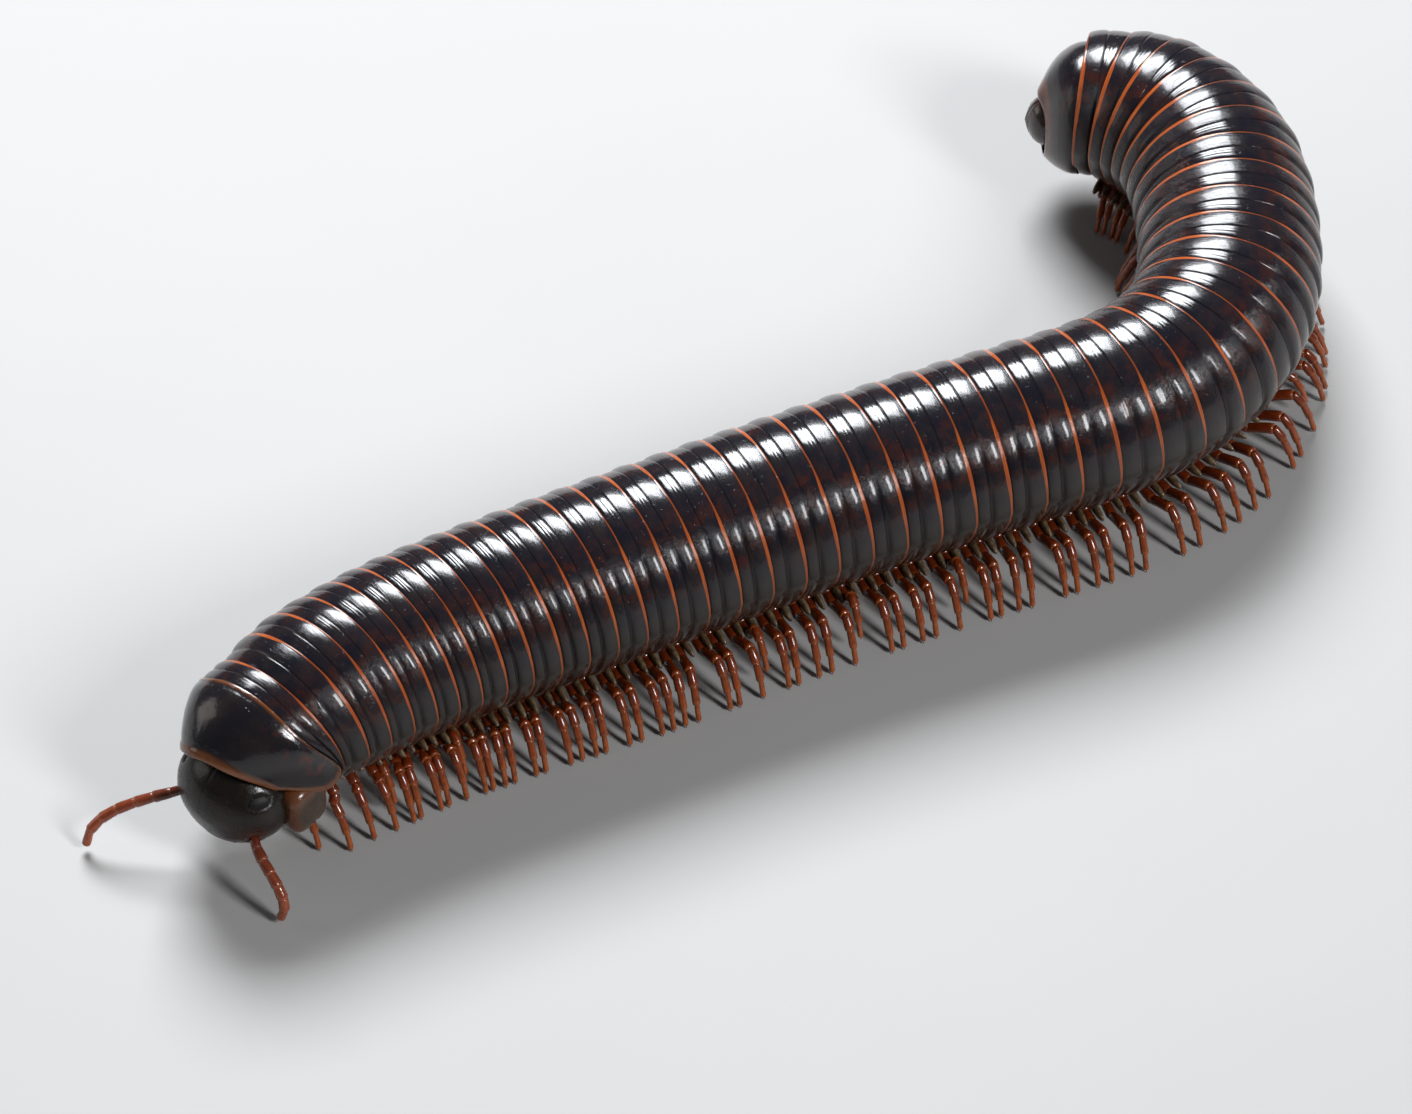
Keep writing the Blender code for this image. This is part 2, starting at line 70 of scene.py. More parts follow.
# How far a margin's top stands back, how far and how late its sides lean back, and how far its left side is
# turned back, because the animal looks to its left
TOP_SHIFTS = ((0, -0.17), (1, -0.31), (2, -0.08), (3, 0.0), (9, 0.1), (12, 0.05), (15, -0.1), (41, -0.1),
              (43, 0.0))
LEANS = ((0, 1.98), (1, 0.73), (2, 0.35), (3, 0.1), (41, 0.1), (43, 0.0))
LEAN_POWERS = ((0, 3.0), (1, 1.5), (2, 1.0), (44, 1.0))
SWINGS = ((0, 0.38), (1, 0.4), (3, 0.6), (5, 0.7), (10, 0.68), (13, 0.3), (17, 0.12), (24, 0.0), (44, 0.0))
LEAN_END = 95.0
TRUNK_ENDS = (5, 10, 15, 20, 25, 28, 31, 35, 39, 43)
RING_ANGLES = np.linspace(-math.pi, math.pi, 116, endpoint=False)[None, :]

# A ring's back from its tucked front to its rim: share of its length, and height over its named radius
BACK_RISES = (
    (-0.16, -0.42), (-0.05, -0.31), (0.02, -0.2), (0.07, -0.155), (0.22, -0.095), (0.36, -0.065),
    (0.42, -0.06), (0.44, -0.082), (0.46, -0.055), (0.52, -0.03), (0.66, 0.0), (0.8, 0.0),
    (0.9, -0.015), (0.94, -0.025), (0.97, -0.02), (1.0, -0.045),
)
# The same on its flanks, where a groove parts the ring's two bands
FLANK_RISES = (
    (-0.16, -0.46), (-0.05, -0.36), (0.02, -0.27), (0.07, -0.2), (0.2, -0.11), (0.3, -0.105),
    (0.38, -0.14), (0.435, -0.225), (0.46, -0.205), (0.52, -0.09), (0.64, -0.02), (0.76, -0.005),
    (0.87, -0.03), (0.94, -0.055), (0.97, -0.05), (1.0, -0.08),
)
FLANK_SPAN = (22.0, 62.0)
# The rim's under side, back under the ring
RIM_TURN = ((1.006, -0.09), (0.998, -0.15), (0.975, -0.22), (0.93, -0.3))
# The places along a ring where its surface is drawn
RING_STATIONS = np.concatenate([
    (-0.16, -0.05, 0.0),
    np.linspace(0.03, 0.4, 16),
    (0.415, 0.425, 0.435, 0.442, 0.45, 0.46, 0.475, 0.495),
    np.linspace(0.53, 0.9, 8),
    (0.92, 0.94, 0.955, 0.97, 0.985, 1.0),
])
# How far the rings' rises differ, and the least and most that a ring's hind part is of it in a bend
SWELL = 0.15
HIND_SHARES = (0.3, 0.97)
SUTURE = 0.44
# The first ring's fore part lies flush with the collum's margin
FIRST_RING_RISE = 0.45
STRIA_SPAN = (0.16, 0.41)
STRIA_COUNT = 3.0
STRIA_RISE = 0.008
# How marked the fine ridges are: the first rings are almost smooth
STRIATIONS = ((1, 0.15), (3, 0.3), (6, 1.0), (18, 1.0), (30, 0.6))
# What the shell's paint reads at every point, and the radii that turn its angles into lengths
BODY_RADIUS = 5.0
TELSON_RADIUS = 4.0
SHELL_VALUES = ("share", "turn", "lie", "around", "along", "lot", "rim")

# Legs: hips and feet lie at shares of their ring's length
HIP_PLACES = (0.30, 0.74)
SINGLE_HIP_PLACES = (1.3, 0.7, 0.5)
FOOT_PLACES = (0.33, 0.70)
SINGLE_FOOT_PLACE = 0.5
FOOT_REACH = ((1, 3.2), (2, 4.4), (4, 4.9), (8, 5.35), (14, 5.9), (34, 5.9), (40, 5.4), (42, 4.8))
INNER_REACH = 0.42
LAST_LEG_RING = 42
WAVE_RINGS = 3.2
WAVE_SWING = 0.2
BUNCHING = 0.94
LIFT = 1.0
LIFT_REACH = 0.8
LIFTED_PHASE = 0.8
FOOT_JITTER = 0.06
LEG_SEED = 11
LEG_RADII = (0.33, 0.31, 0.31, 0.27, 0.22, 0.155)
HIP_TURN = 0.4
HIP_SINK = 0.15
# How far a leg's root lies over half the belly's height, and its least distance under the belly
COXA_RISE = 0.725
COXA_CLEARANCE = 0.5
COXA_RISES = (-0.02, 0.12)
# The first ends of a leg's articles, out from the middle plane as shares of the body's radius
UPPER_ENDS = (0.34, 0.44, 0.6)
# The others, from the knee to the claw's tip: in from the foot's reach and up, and their share of a lift
LOWER_ENDS = ((1.35, 2.62), (0.8, 2.05), (0.33, 1.14), (0.03, 0.24), (-0.06, 0.03))
LOWER_LIFTS = (0.4, 0.7, 0.9, 1.0, 1.0)
# How far each end has come from the hip to the foot along the body
END_SHARES = (0.0, 0.06, 0.25, 0.7, 0.84, 0.94, 1.0, 1.02)
LEG_OVERLAP = 0.06
ARTICLE_BOW = 0.05
BOWED_ARTICLES = (2, 3)
CLAW_WIDTH = 0.075
CLAW_SINK = 0.05
CLAW_POINT = 0.03
# Shares along an article, and how wide it is there; and how wide a hair is along its length
ARTICLE_SHARES = np.array((0.0, 0.05, 0.18, 0.42, 0.68, 0.86, 0.95, 1.0))
ARTICLE_WIDTHS = np.array((0.82, 0.9, 0.94, 0.97, 1.0, 1.02, 0.98, 0.87))
SPIKE_WIDTHS = np.array((1.0, 0.8, 0.5, 0.12))
# Hairs of an article: count, between which shares of it, lean forward and outward, seat as a share of its
# radius, lengths and width
LEG_HAIRS = (2, (0.55, 0.98), (0.9, 0.8), 0.85, (0.14, 0.26), 0.011)
FEELER_HAIRS = (7, (0.45, 0.95), (1.0, 0.7), 0.9, (0.1, 0.18), 0.009)
# The plate between two hips and the folds of membrane beside it: half sizes, across in shares of the radius
PLATE_SIZES = (0.34, 0.36, 0.12)
PLATE_SINK = 0.02
FOLD_SIZES = (0.2, 0.2, 0.3)
FOLD_PLACE = (0.42, 0.5)

# Head: an egg whose middle lies ahead of the first ring, under the collum
HEAD_BACK = -3.1
HEAD_HEIGHT = 4.5
HEAD_FRONT = 2.5
HEAD_REAR = 2.75
HEAD_HALF_WIDTH = 3.3
HEAD_CROWN = 2.9
HEAD_CHIN = 2.6
HEAD_TAPER = 0.18
# Its ridges and grooves: height, place and width. The lip's places are distances from the lip, and the eye's
# groove is in shares of its outline
FACE_SEAM = (-0.015, 0.0, 0.05)
LIP_HEIGHT = -1.62
LIP_NOTCH = (0.2, 0.0, 0.5)
LIP_RIDGES = ((-0.07, 0.0, 0.07), (0.05, -0.18, 0.1))
FACE_HOLLOW = (-0.05, -0.55, 0.5)
FACE_HALF_WIDTH = 1.2
EYE_GROOVE = (-0.012, 1.06, 0.1)
EYE_BED = 0.06
EYE_MARGIN = 0.06
SOCKET_RIDGES = ((-0.22, 0.0, 0.3), (0.07, 0.5, 0.13))
# How far the lighter edge shows round a socket
SOCKET_EDGE = (0.75, 0.0, 0.75)
EYE_PLACE = (0.9, 2.45, 1.6)
EYE_HALF_SIZES = (0.62, 0.4)
EYE_SINK = 0.16
EYE_BULGE = 0.17
LENS_PITCH = 0.145
LENS_RADIUS = 0.07
LENS_RISE = 0.022
LENS_SINK = 0.02
# How far apart the rows of lenses are in pitches, and how far inside the eye's outline they stay
LENS_ROW_SHARE = 0.866
LENS_MARGINS = (0.07, 0.05)
ANTENNA_PLACE = (1.08, 1.65, -0.65)
CHEEK_PLACE = (-1.75, 3.15, -0.1)
CHEEK_HALF_SIZES = (1.35, 0.85, 1.6)
CHEEK_SQUARENESS = 3.2
CHEEK_TRIM = 0.93
CHEEK_GROOVE = (-0.06, -0.35, 0.07)
CHEEK_CORNER = (0.06, 0.6, 0.4)
JAW_LOBE_PLACE = (-1.45, 2.9, -1.75)
JAW_LOBE_HALF_SIZES = (0.45, 0.3, 0.42)
CHIN_PLACE = (-0.6, 0.0, -2.3)
CHIN_HALF_SIZES = (1.5, 1.8, 1.0)
CHIN_SEAM = (-0.05, 0.0, 0.04)
CHIN_SIDE_GROOVE = (-0.05, 0.45, 0.05)
CHIN_CROSS_GROOVE = (-0.04, -0.25, 0.05)
# Palps: ahead and up, and each one's distance to the side and half size
PALP_PLACE = (1.02, -2.3)
PALPS = ((0.35, 0.2), (0.85, 0.24))

# Antennae: their articles, and the four points that shape each one's curve
JOINT_GAP = 0.3
ARTICLES = 7
ARTICLE_RADII = (0.27, 0.31, 0.3, 0.3, 0.3, 0.29, 0.24)
NEAR_ANTENNA = ((0.0, 0.0, 0.0), (0.6, 0.7, 0.0), (0.6, 3.5, -1.1), (0.8, 2.38, -3.12))
FAR_ANTENNA = ((0.0, 0.0, 0.0), (0.6, 0.9, 0.0), (3.4, 3.27, -0.74), (3.85, 3.08, -3.12))
FEELER_OVERLAP = 0.08
FEELER_ROOT = 0.1
# The four cones at an antenna's tip: out from its middle, sunk, long and wide
CONES = (0.07, 0.04, 0.12, 0.045)

# Collum: arches that shrink towards the head, each with its share of the way, place, radius, height, how far
# and how late its sides lean back, and how far its left side is turned back
COLLUM_ARCHES = (
    (0.0, -1.7, 4.45, 6.35, 1.98, 3.0, 0.38),
    (0.25, -2.7, 4.2, 6.22, 2.05, 2.6, 0.36),
    (0.5, -3.55, 3.88, 5.98, 2.15, 2.2, 0.36),
    (0.75, -4.28, 3.52, 5.55, 2.25, 1.8, 0.4),
    (1.0, -4.92, 3.12, 5.03, 2.35, 1.5, 0.48),
)
# The shield's span to either side in degrees, by the same share
COLLUM_SPANS = ((0.0, 85.0), (0.06, 91.0), (0.2, 97.0), (0.5, 95.0), (0.75, 84.0), (1.0, 64.0))
COLLUM_THICKNESS = 0.3
COLLUM_ROUNDING = 0.12
COLLUM_DEPTH = 3.4
# Its ridges and grooves: height, place in from the edge, and width
COLLUM_LIP = ((0.05, 0.16, 0.13), (-0.03, 0.42, 0.12))
COLLUM_REAR_RIM = ((0.02, 0.06, 0.09), (-0.02, 0.24, 0.08))
COLLUM_SHOULDER = 0.1
SHOULDER_REACH = 0.6

# Telson: place behind the last ring, and radius there
TELSON_PROFILE = ((-0.35, 3.75), (0.0, 3.8), (0.5, 3.72), (1.0, 3.48), (1.5, 3.08), (1.95, 2.5), (2.2, 2.05))
# Its last places, and how far in the last two lie
TELSON_TURN = ((2.08, 2.15, 2.2, 2.2, 2.15), (0.12, 0.3))
TELSON_BELLY = 0.93
TELSON_OVERHANG = 0.35
# A valve: how far it stands back, how thick it is and half its height
VALVE_SIZES = (1.05, 1.24, 1.55)
VALVE_GAP = 0.03
VALVE_START = 2.05
VALVE_LIP = (0.1, 0.16, 0.1)

# Camera: as far, as high and as long as in the photograph, in millimetres and degrees
CAMERA_DISTANCE = 303.0
CAMERA_ELEVATION = 46.2
CAMERA_ROLL = 0.5
CAMERA_AIM = (-1.38, -3.76)
FOCAL_PIXELS = 5600.0
IMAGE_WIDTH = 1412
SENSOR = 36.0

# Studio, in metres; each light is its name, place, size, power in watts and colour
FLOOR_HALF = 1.2
FLOOR_COLOURS = ((0.31, 0.304, 0.295), (0.345, 0.339, 0.33))
SKY_COLOUR = (0.82, 0.88, 1.0, 1.0)
SKY_STRENGTH = 0.12
LIGHTS_AIM = (0.0, 0.0, 0.006)
LIGHTS = (
    ("back_light", (-0.05, 0.36, 0.40), (0.26, 0.22), 6.2, (0.93, 0.96, 1.0)),
    ("side_light", (0.42, -0.36, 0.43), (0.12, 0.2), 4.4, (0.97, 0.98, 1.0)),
    ("left_light", (-0.42, 0.05, 0.16), (0.2, 0.2), 0.2, (1.0, 0.96, 0.9)),
)

# Colours of the rings: dark and light shell, and what lies over it from the back down
RING_COLOURS = ((0.006, 0.0055, 0.009), (0.013, 0.0095, 0.0105))
CLOUD_STOPS = ((0.35, 0.0), (0.7, 1.0))
MOTTLE_COLOUR = (0.035, 0.009, 0.0055)
# The sides: their own dark brown, lightened to an olive that is a painted reflection of the surroundings
FLANK_BROWN_AND_PAINTED_REFLECTION = (0.017, 0.0125, 0.008)
LOWER_FLANK_COLOUR = (0.05, 0.011, 0.005)
BELLY_COLOUR = (0.13, 0.075, 0.035)
SUTURE_COLOUR = (0.003, 0.002, 0.002)
RIM_COLOURS = ((0.24, 0.042, 0.008), (0.42, 0.1, 0.018))
DULL_RIM_COLOUR = (0.085, 0.02, 0.006)
# How wide and how dull the orange rim is, by the way round from the belly up the right side
RIM_WIDTHS = (
    (0.30, 0.06), (0.36, 0.10), (0.44, 0.10), (0.49, 0.04), (0.56, 0.035), (0.61, 0.09), (0.67, 0.09),
    (0.74, 0.05),
)
RIM_DULLNESS = ((0.36, 0.0), (0.45, 0.0), (0.5, 0.75), (0.56, 0.75), (0.61, 0.1), (0.67, 0.15), (0.74, 0.55))
WARM_COLOUR = (0.07, 0.014, 0.007)
# Smooth paints: name, dark, light and edge colours, roughness from and to, coat and index of refraction
SMOOTH_PAINTS = (
    ("collum_shell", (0.006, 0.005, 0.007), (0.013, 0.009, 0.0085), (0.16, 0.05, 0.012),
     0.15, 0.21, 0.45, 1.4),
    ("head_capsule", (0.006, 0.0042, 0.003), (0.011, 0.007, 0.0045), (0.08, 0.017, 0.006),
     0.24, 0.34, 0.16, 1.33),
    ("jaw_plate", (0.03, 0.019, 0.012), (0.055, 0.034, 0.022), (0.17, 0.05, 0.013), 0.2, 0.3, 0.25, 1.4),
)
# Limb paints: name, and the colours of the root, middle, tip and joints
LIMB_PAINTS = (
    ("leg_shell", (0.04, 0.0055, 0.0023), (0.13, 0.019, 0.003), (0.26, 0.06, 0.009), (0.3, 0.08, 0.016)),
    ("feeler_shell", (0.085, 0.014, 0.006), (0.17, 0.034, 0.012), (0.27, 0.06, 0.018), (0.42, 0.16, 0.09)),
)
# Plain paints: name, dark and light colours, scale of clouds, depth of relief, roughness, coat and index
PLAIN_PAINTS = (
    ("hip_membrane", (0.045, 0.025, 0.011), (0.13, 0.085, 0.04), 2.6, 0.06, 0.45, 0.3, 1.5),
    ("hip_plate", (0.07, 0.03, 0.014), (0.13, 0.055, 0.022), 2.5, 0.02, 0.35, 0.3, 1.5),
    ("eye_lens", (0.002, 0.002, 0.002), (0.004, 0.003, 0.003), 12.0, 0.002, 0.4, 0.0, 1.3),
    ("eye_patch", (0.002, 0.0015, 0.0015), (0.004, 0.003, 0.003), 10.0, 0.004, 0.45, 0.0, 1.3),
    ("tail_valve", (0.016, 0.011, 0.010), (0.04, 0.018, 0.012), 1.6, 0.02, 0.24, 0.5, 1.5),
)


def clamp(values):
    return np.clip(values, 0.0, 1.0)


def ease(values, start, end):
    """Rises softly from 0 to 1 between two values."""
    share = clamp((values - start) / (end - start))
    return share * share * (3.0 - 2.0 * share)


def named_size(knots, place):
    """Reads a size that changes along the body, between the places where it is named."""
    return np.interp(place, [k[0] for k in knots], [k[1] for k in knots])


def smooth_through(knots, places):
    """A smooth curve through named points, read at many places."""
    x = np.array([k[0] for k in knots], float)
    y = np.array([k[1] for k in knots], float)
    slope = np.gradient(y, x)
    at = np.clip(np.searchsorted(x, places) - 1, 0, len(x) - 2)
    width = x[at + 1] - x[at]
    t = clamp((places - x[at]) / width)
    ends = y[at] * (1 + 2 * t) * (1 - t) ** 2 + y[at + 1] * t**2 * (3 - 2 * t)
    return ends + width * (slope[at] * t * (1 - t) ** 2 - slope[at + 1] * t**2 * (1 - t))


def headings(distances):
    """The way the body's axis points at distances along it, in radians from +X."""
    degrees = np.full(np.shape(distances), START_HEADING)
    for middle, length, turn in TURNS:
        degrees = degrees + turn * ease(distances, middle - length / 2.0, middle + length / 2.0)
    return np.radians(degrees)


def measure_axis(first=-8.0, last=92.0, step=0.05):
    """Sums up the headings into the axis: distances with their x and y."""
    distances = np.arange(first, last + step / 2.0, step)
    turned = headings(distances)
    middles = (turned[1:] + turned[:-1]) / 2.0
    axis = [distances]
    for start, steps in zip(START, (np.cos(middles), np.sin(middles))):
        line = np.concatenate([[0.0], np.cumsum(steps * step)])
        axis.append(line + (start - np.interp(0.0, distances, line)))
    return axis


AXIS = measure_axis()


def spots(distance, side, up):
    """Turns millimetres along the axis, to the animal's left and up from the floor into places in metres."""
    distance, side, up = np.broadcast_arrays(distance, side, up)
    x = np.interp(distance, AXIS[0], AXIS[1])
    y = np.interp(distance, AXIS[0], AXIS[2])
    angle = headings(distance)
    return np.stack([x + side * np.sin(angle), y - side * np.cos(angle), up], axis=-1) * MM


RING_LENGTHS = [named_size(LENGTHS, k + 0.5) for k in range(1, RING_COUNT)]
# The first ring's front and each ring's rear margin, in millimetres along the axis
MARGINS = np.concatenate([[FIRST_MARGIN_TOP, 0.0], np.cumsum(RING_LENGTHS)])


def axis_height(radius):
    """Where the body narrows, its axis comes down a little."""
    return AXIS_HEIGHT - (max(r for _, r in RADII) - radius) * AXIS_DROP


def bend(distance, step=0.5):
    """How fast the body turns to its right, in radians a millimetre."""
    return (headings(distance + step) - headings(distance - step)) / (2.0 * step)


def lean_at(angles):
    """How far a leaning section has come back at angles from its top, from 0 to 1."""
    return ease(np.degrees(np.abs(angles)), 0.0, LEAN_END)


def round_about(count):
    """Angles all round, evenly."""
    return np.linspace(0.0, 2.0 * math.pi, count, endpoint=False)


def unit(vector):
    vector = np.asarray(vector, float)
    return vector / np.linalg.norm(vector)


def bell(distance, width):
    return np.exp(-((distance / width) ** 2))


def ridges(distance, *rows):
    """How high ridges stand at a distance, or grooves below 0; each is its height, place and width."""
    return sum(height * bell(distance - place, width) for height, place, width in rows)


def ball(rows, columns, pole):
    """Unit directions all round, in rows from near the top pole to near the bottom one."""
    polar = np.linspace(pole, math.pi - pole, rows)[:, None]
    around = round_about(columns)
    level = np.sin(polar)
    return np.stack([level * np.cos(around), level * np.sin(around), np.cos(polar) + 0.0 * around], -1)


class Sheets:
    """Gathers grids of points into one mesh, with named values for materials to read."""

    def __init__(self, *names):
        self.values = {name: [] for name in names}
        self.points = []
        self.faces = []
        self.count = 0
        self.charts = 0

    def add_points(self, points, values):
        for name, kept in self.values.items():
            kept.append(np.broadcast_to(values.get(name, 0.0), points.shape[:-1]).reshape(-1))
        self.points.append(points.reshape(-1, 3))
        self.count += len(self.points[-1])
        return self.count - len(self.points[-1])

    def grid(self, points, shape="sheet", slot=0, chart=True, **values):
        """Adds rows of points as outward faces: a sheet, a tube, a cap closed at its last row, or a ball."""
        rows, columns = points.shape[:2]
        start = self.add_points(points, values)
        across = columns - (shape == "sheet")
        i, j = np.meshgrid(np.arange(rows - 1), np.arange(across), indexing="ij")
        n = (j + 1) % columns
        quads = np.stack([i * columns + j, i * columns + n, (i + 1) * columns + n, (i + 1) * columns + j], -1)
        u = np.stack([j, j + 1, j + 1, j], -1) / across
        v = np.stack([i, i, i + 1, i + 1], -1) / (rows - 1)
        quads, u, v = (a.reshape(-1, 4) for a in (quads, u, v))
        local = points.reshape(-1, 3)
        middle = local.mean(axis=0)
        normals = np.cross(local[quads[:, 2]] - local[quads[:, 0]], local[quads[:, 3]] - local[quads[:, 1]])
        inward = ((local[quads].mean(axis=1) - middle) * normals).sum() < 0.0
        number = self.charts if chart else -1
        self.charts += chart
        self.faces.append((quads + start, u, v, slot, number, inward))
        for row in {"cap": (rows - 1,), "ball": (0, rows - 1)}.get(shape, ()):
            ring = {k: np.broadcast_to(a, (rows, columns))[row].mean() for k, a in values.items()}
            tip = self.add_points(points[row].mean(axis=0).reshape(1, 1, 3), ring)
            k = np.arange(across)
            a = start + row * columns
            fan = np.stack([a + (k + 1) % columns, a + k, np.full(across, tip)], -1)
            u = np.stack([k + 1, k, k + 0.5], -1) / across
            v = np.full((across, 3), row / (rows - 1))
            self.faces.append((fan, u, v, slot, number, inward if row == 0 else not inward))

    def build(self, name, materials, rows=None):
        """The finished piece, with a cell of the map for each grid."""
        cells = self.charts + 1
        tall = rows or max(1, round(math.sqrt(cells)))
        wide = math.ceil(cells / tall)
        polygons, slots, maps = [], [], []
        for faces, u, v, slot, number, inward in self.faces:
            column, row = divmod(number % cells, tall)
            u = (column + 0.02 + 0.96 * u) / wide
            v = (row + 0.03 + 0.94 * v) / tall
            if inward:
                faces, u, v = faces[:, ::-1], u[:, ::-1], v[:, ::-1]
            polygons.extend(faces.tolist())
            slots.extend([slot] * len(faces))
            maps.append(np.stack([u, v], -1).reshape(-1))
        mesh = bpy.data.meshes.new(name)
        mesh.from_pydata(np.concatenate(self.points), [], polygons)
        mesh.polygons.foreach_set("material_index", slots)
        chart = mesh.uv_layers.new(name="OFBake")
        chart.data.foreach_set("uv", np.concatenate(maps))
        for value, kept in self.values.items():
            data = mesh.attributes.new(value, "FLOAT", "POINT").data
            data.foreach_set("value", np.concatenate(kept))
        mesh.shade_smooth()
        for material in materials:
            mesh.materials.append(material)
        piece = bpy.data.objects.new(name, mesh)
        bpy.context.scene.collection.objects.link(piece)
        return piece

    def place(self, name, materials, slot, *nodes, rows=None):
        """Builds a piece and fixes it to the body in place of its solids."""
        piece = self.build(name, materials, rows)
        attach(piece, "root")
        if nodes:
            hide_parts(*nodes)


class Paint:
    """A small hand for building one procedural material."""

    def __init__(self, name):
        self.material = bpy.data.materials.new(name)
        self.material.use_nodes = True
        self.tree = self.material.node_tree
        self.shader = self.tree.nodes["Principled BSDF"]

    def put(self, socket, value):
        if isinstance(value, bpy.types.NodeSocket):
            self.tree.links.new(value, socket)
        elif isinstance(value, tuple) and len(value) == 3 and socket.type == "RGBA":
            socket.default_value = (*value, 1.0)
        else:
            socket.default_value = value

    def set(self, **values):
        for name, value in values.items():
            self.put(self.shader.inputs[name.replace("_", " ").title().replace("Ior", "IOR")], value)

    def node(self, kind, output, inputs, **settings):
        """Adds a node with its settings and inputs, and gives one of its outputs."""
        node = self.tree.nodes.new("ShaderNode" + kind)
        for name, value in settings.items():
            setattr(node, name, value)
        for name, value in inputs.items():
            self.put(node.inputs[name], value)
        return node.outputs[output]

    def reading(self, name):
        return self.node("Attribute", "Fac", {}, attribute_name=name)

    def millimetres(self):
        """The point's own place, in millimetres."""
        place = self.node("TexCoord", "Object", {})
        return self.node("Mapping", "Vector", {"Vector": place, "Scale": (1.0 / MM,) * 3})

    def combined(self, x, y, z):
        return self.node("CombineXYZ", "Vector", {"X": x, "Y": y, "Z": z})

    def times(self, first, second):
        return self.node("Math", "Value", {0: first, 1: second}, operation="MULTIPLY")

    def plus(self, first, second):
        return self.node("Math", "Value", {0: first, 1: second}, operation="ADD")

    def noise(self, place, scale, detail=3.0, roughness=0.55, distortion=0.0):
        inputs = {"Vector": place, "Scale": scale, "Detail": detail}
        return self.node("TexNoise", "Fac", {**inputs, "Roughness": roughness, "Distortion": distortion})

    def ramp(self, share, *stops):
        """A value that follows another through stops of (place, value)."""
        node = self.tree.nodes.new("ShaderNodeValToRGB")
        ramp = node.color_ramp
        ramp.interpolation = "EASE"
        while len(ramp.elements) < len(stops):
            ramp.elements.new(0.5)
        for element, (place, value) in zip(ramp.elements, stops):
            element.position = place
            element.color = (*value, 1.0) if isinstance(value, tuple) else (value, value, value, 1.0)
        self.put(node.inputs["Fac"], share)
        return node.outputs["Color"]

    def mix(self, share, first, second):
        return self.node("Mix", 2, {"Factor": share, 6: first, 7: second}, data_type="RGBA")

    def tint(self, share, stops, first, second):
        """The second colour over the first, as far as the stops say."""
        return self.mix(self.ramp(share, *stops), first, second)

    def bump(self, height, depth, normal=None):
        """Raises the surface by a height from 0 to 1, times a depth in millimetres."""
        inputs = {"Strength": 1.0, "Distance": depth * MM, "Height": height}
        if normal is not None:
            inputs["Normal"] = normal
        return self.node("Bump", "Normal", inputs)


def shell_paint():
    """The rings' dark shell with its orange rims, by the points' shares and turns from the top."""
    paint = Paint("ring_shell")
    share, turn, lie, around, along, lot, marked = (paint.reading(name) for name in SHELL_VALUES)
    place = paint.millimetres()
    streaks = paint.combined(paint.times(around, 0.35), paint.times(along, 5.0), lot)
    cloud = paint.noise(place, 0.9, 4.0, 0.6)
    grain = paint.noise(streaks, 2.2, 4.0, 0.6)
    colour = paint.tint(cloud, CLOUD_STOPS, *RING_COLOURS)
    mottle = paint.ramp(paint.noise(place, 1.1, 4.0, 0.6, 0.2), (0.42, 0.0), (0.7, 1.0))
    mottle = paint.times(mottle, paint.ramp(turn, (0.05, 0.0), (0.18, 0.9), (0.32, 0.9), (0.45, 0.0)))
    colour = paint.mix(mottle, colour, MOTTLE_COLOUR)
    # Painted reflection: the sides take a lighter olive tint that stands for reflected surroundings, over
    # their dark brown
    colour = paint.tint(turn, ((0.36, 0.0), (0.52, 0.85)), colour, FLANK_BROWN_AND_PAINTED_REFLECTION)
    colour = paint.tint(turn, ((0.56, 0.0), (0.72, 0.9)), colour, LOWER_FLANK_COLOUR)
    colour = paint.tint(share, ((0.41, 0.0), (0.44, 0.7), (0.47, 0.0)), colour, SUTURE_COLOUR)
    wander = paint.times(paint.plus(paint.noise(streaks, 0.8), -0.5), 0.04)
    edge = paint.plus(paint.plus(share, paint.ramp(lie, *RIM_WIDTHS)), wander)
    rim = paint.ramp(edge, (0.975, 0.0), (1.0, 1.0))
    rim_colour = paint.tint(grain, ((0.3, 0.0), (0.75, 1.0)), *RIM_COLOURS)
    rim_colour = paint.tint(lie, RIM_DULLNESS, rim_colour, DULL_RIM_COLOUR)
    colour = paint.mix(paint.times(rim, marked), colour, rim_colour)
    colour = paint.tint(turn, ((0.84, 0.0), (0.9, 0.85)), colour, BELLY_COLOUR)
    paint.set(base_color=colour)
    band = paint.ramp(share, (0.4, 0.0), (0.47, 1.0), (0.9, 1.0), (0.95, 0.4))
    fine = paint.noise(place, 9.0, 3.0)
    paint.set(roughness=paint.plus(paint.ramp(fine, (0.2, 0.1), (0.8, 0.155)), paint.times(band, 0.05)))
    flank = paint.ramp(turn, (0.12, 0.0), (0.22, 1.0), (0.42, 1.0), (0.5, 0.25))
    leather = paint.times(paint.noise(streaks, 6.0, 3.0, 0.6, 0.6), flank)
    streak_rise = paint.times(grain, paint.plus(paint.times(band, 0.6), 0.4))
    normal = paint.bump(leather, 0.03, paint.bump(streak_rise, 0.02))
    normal = paint.bump(paint.ramp(paint.noise(place, 5.5, 2.0), (0.24, 0.0), (0.34, 1.0)), 0.008, normal)
    paint.set(normal=normal, coat_weight=0.35, coat_roughness=0.09, coat_ior=1.4, ior=1.35)
    return paint.material


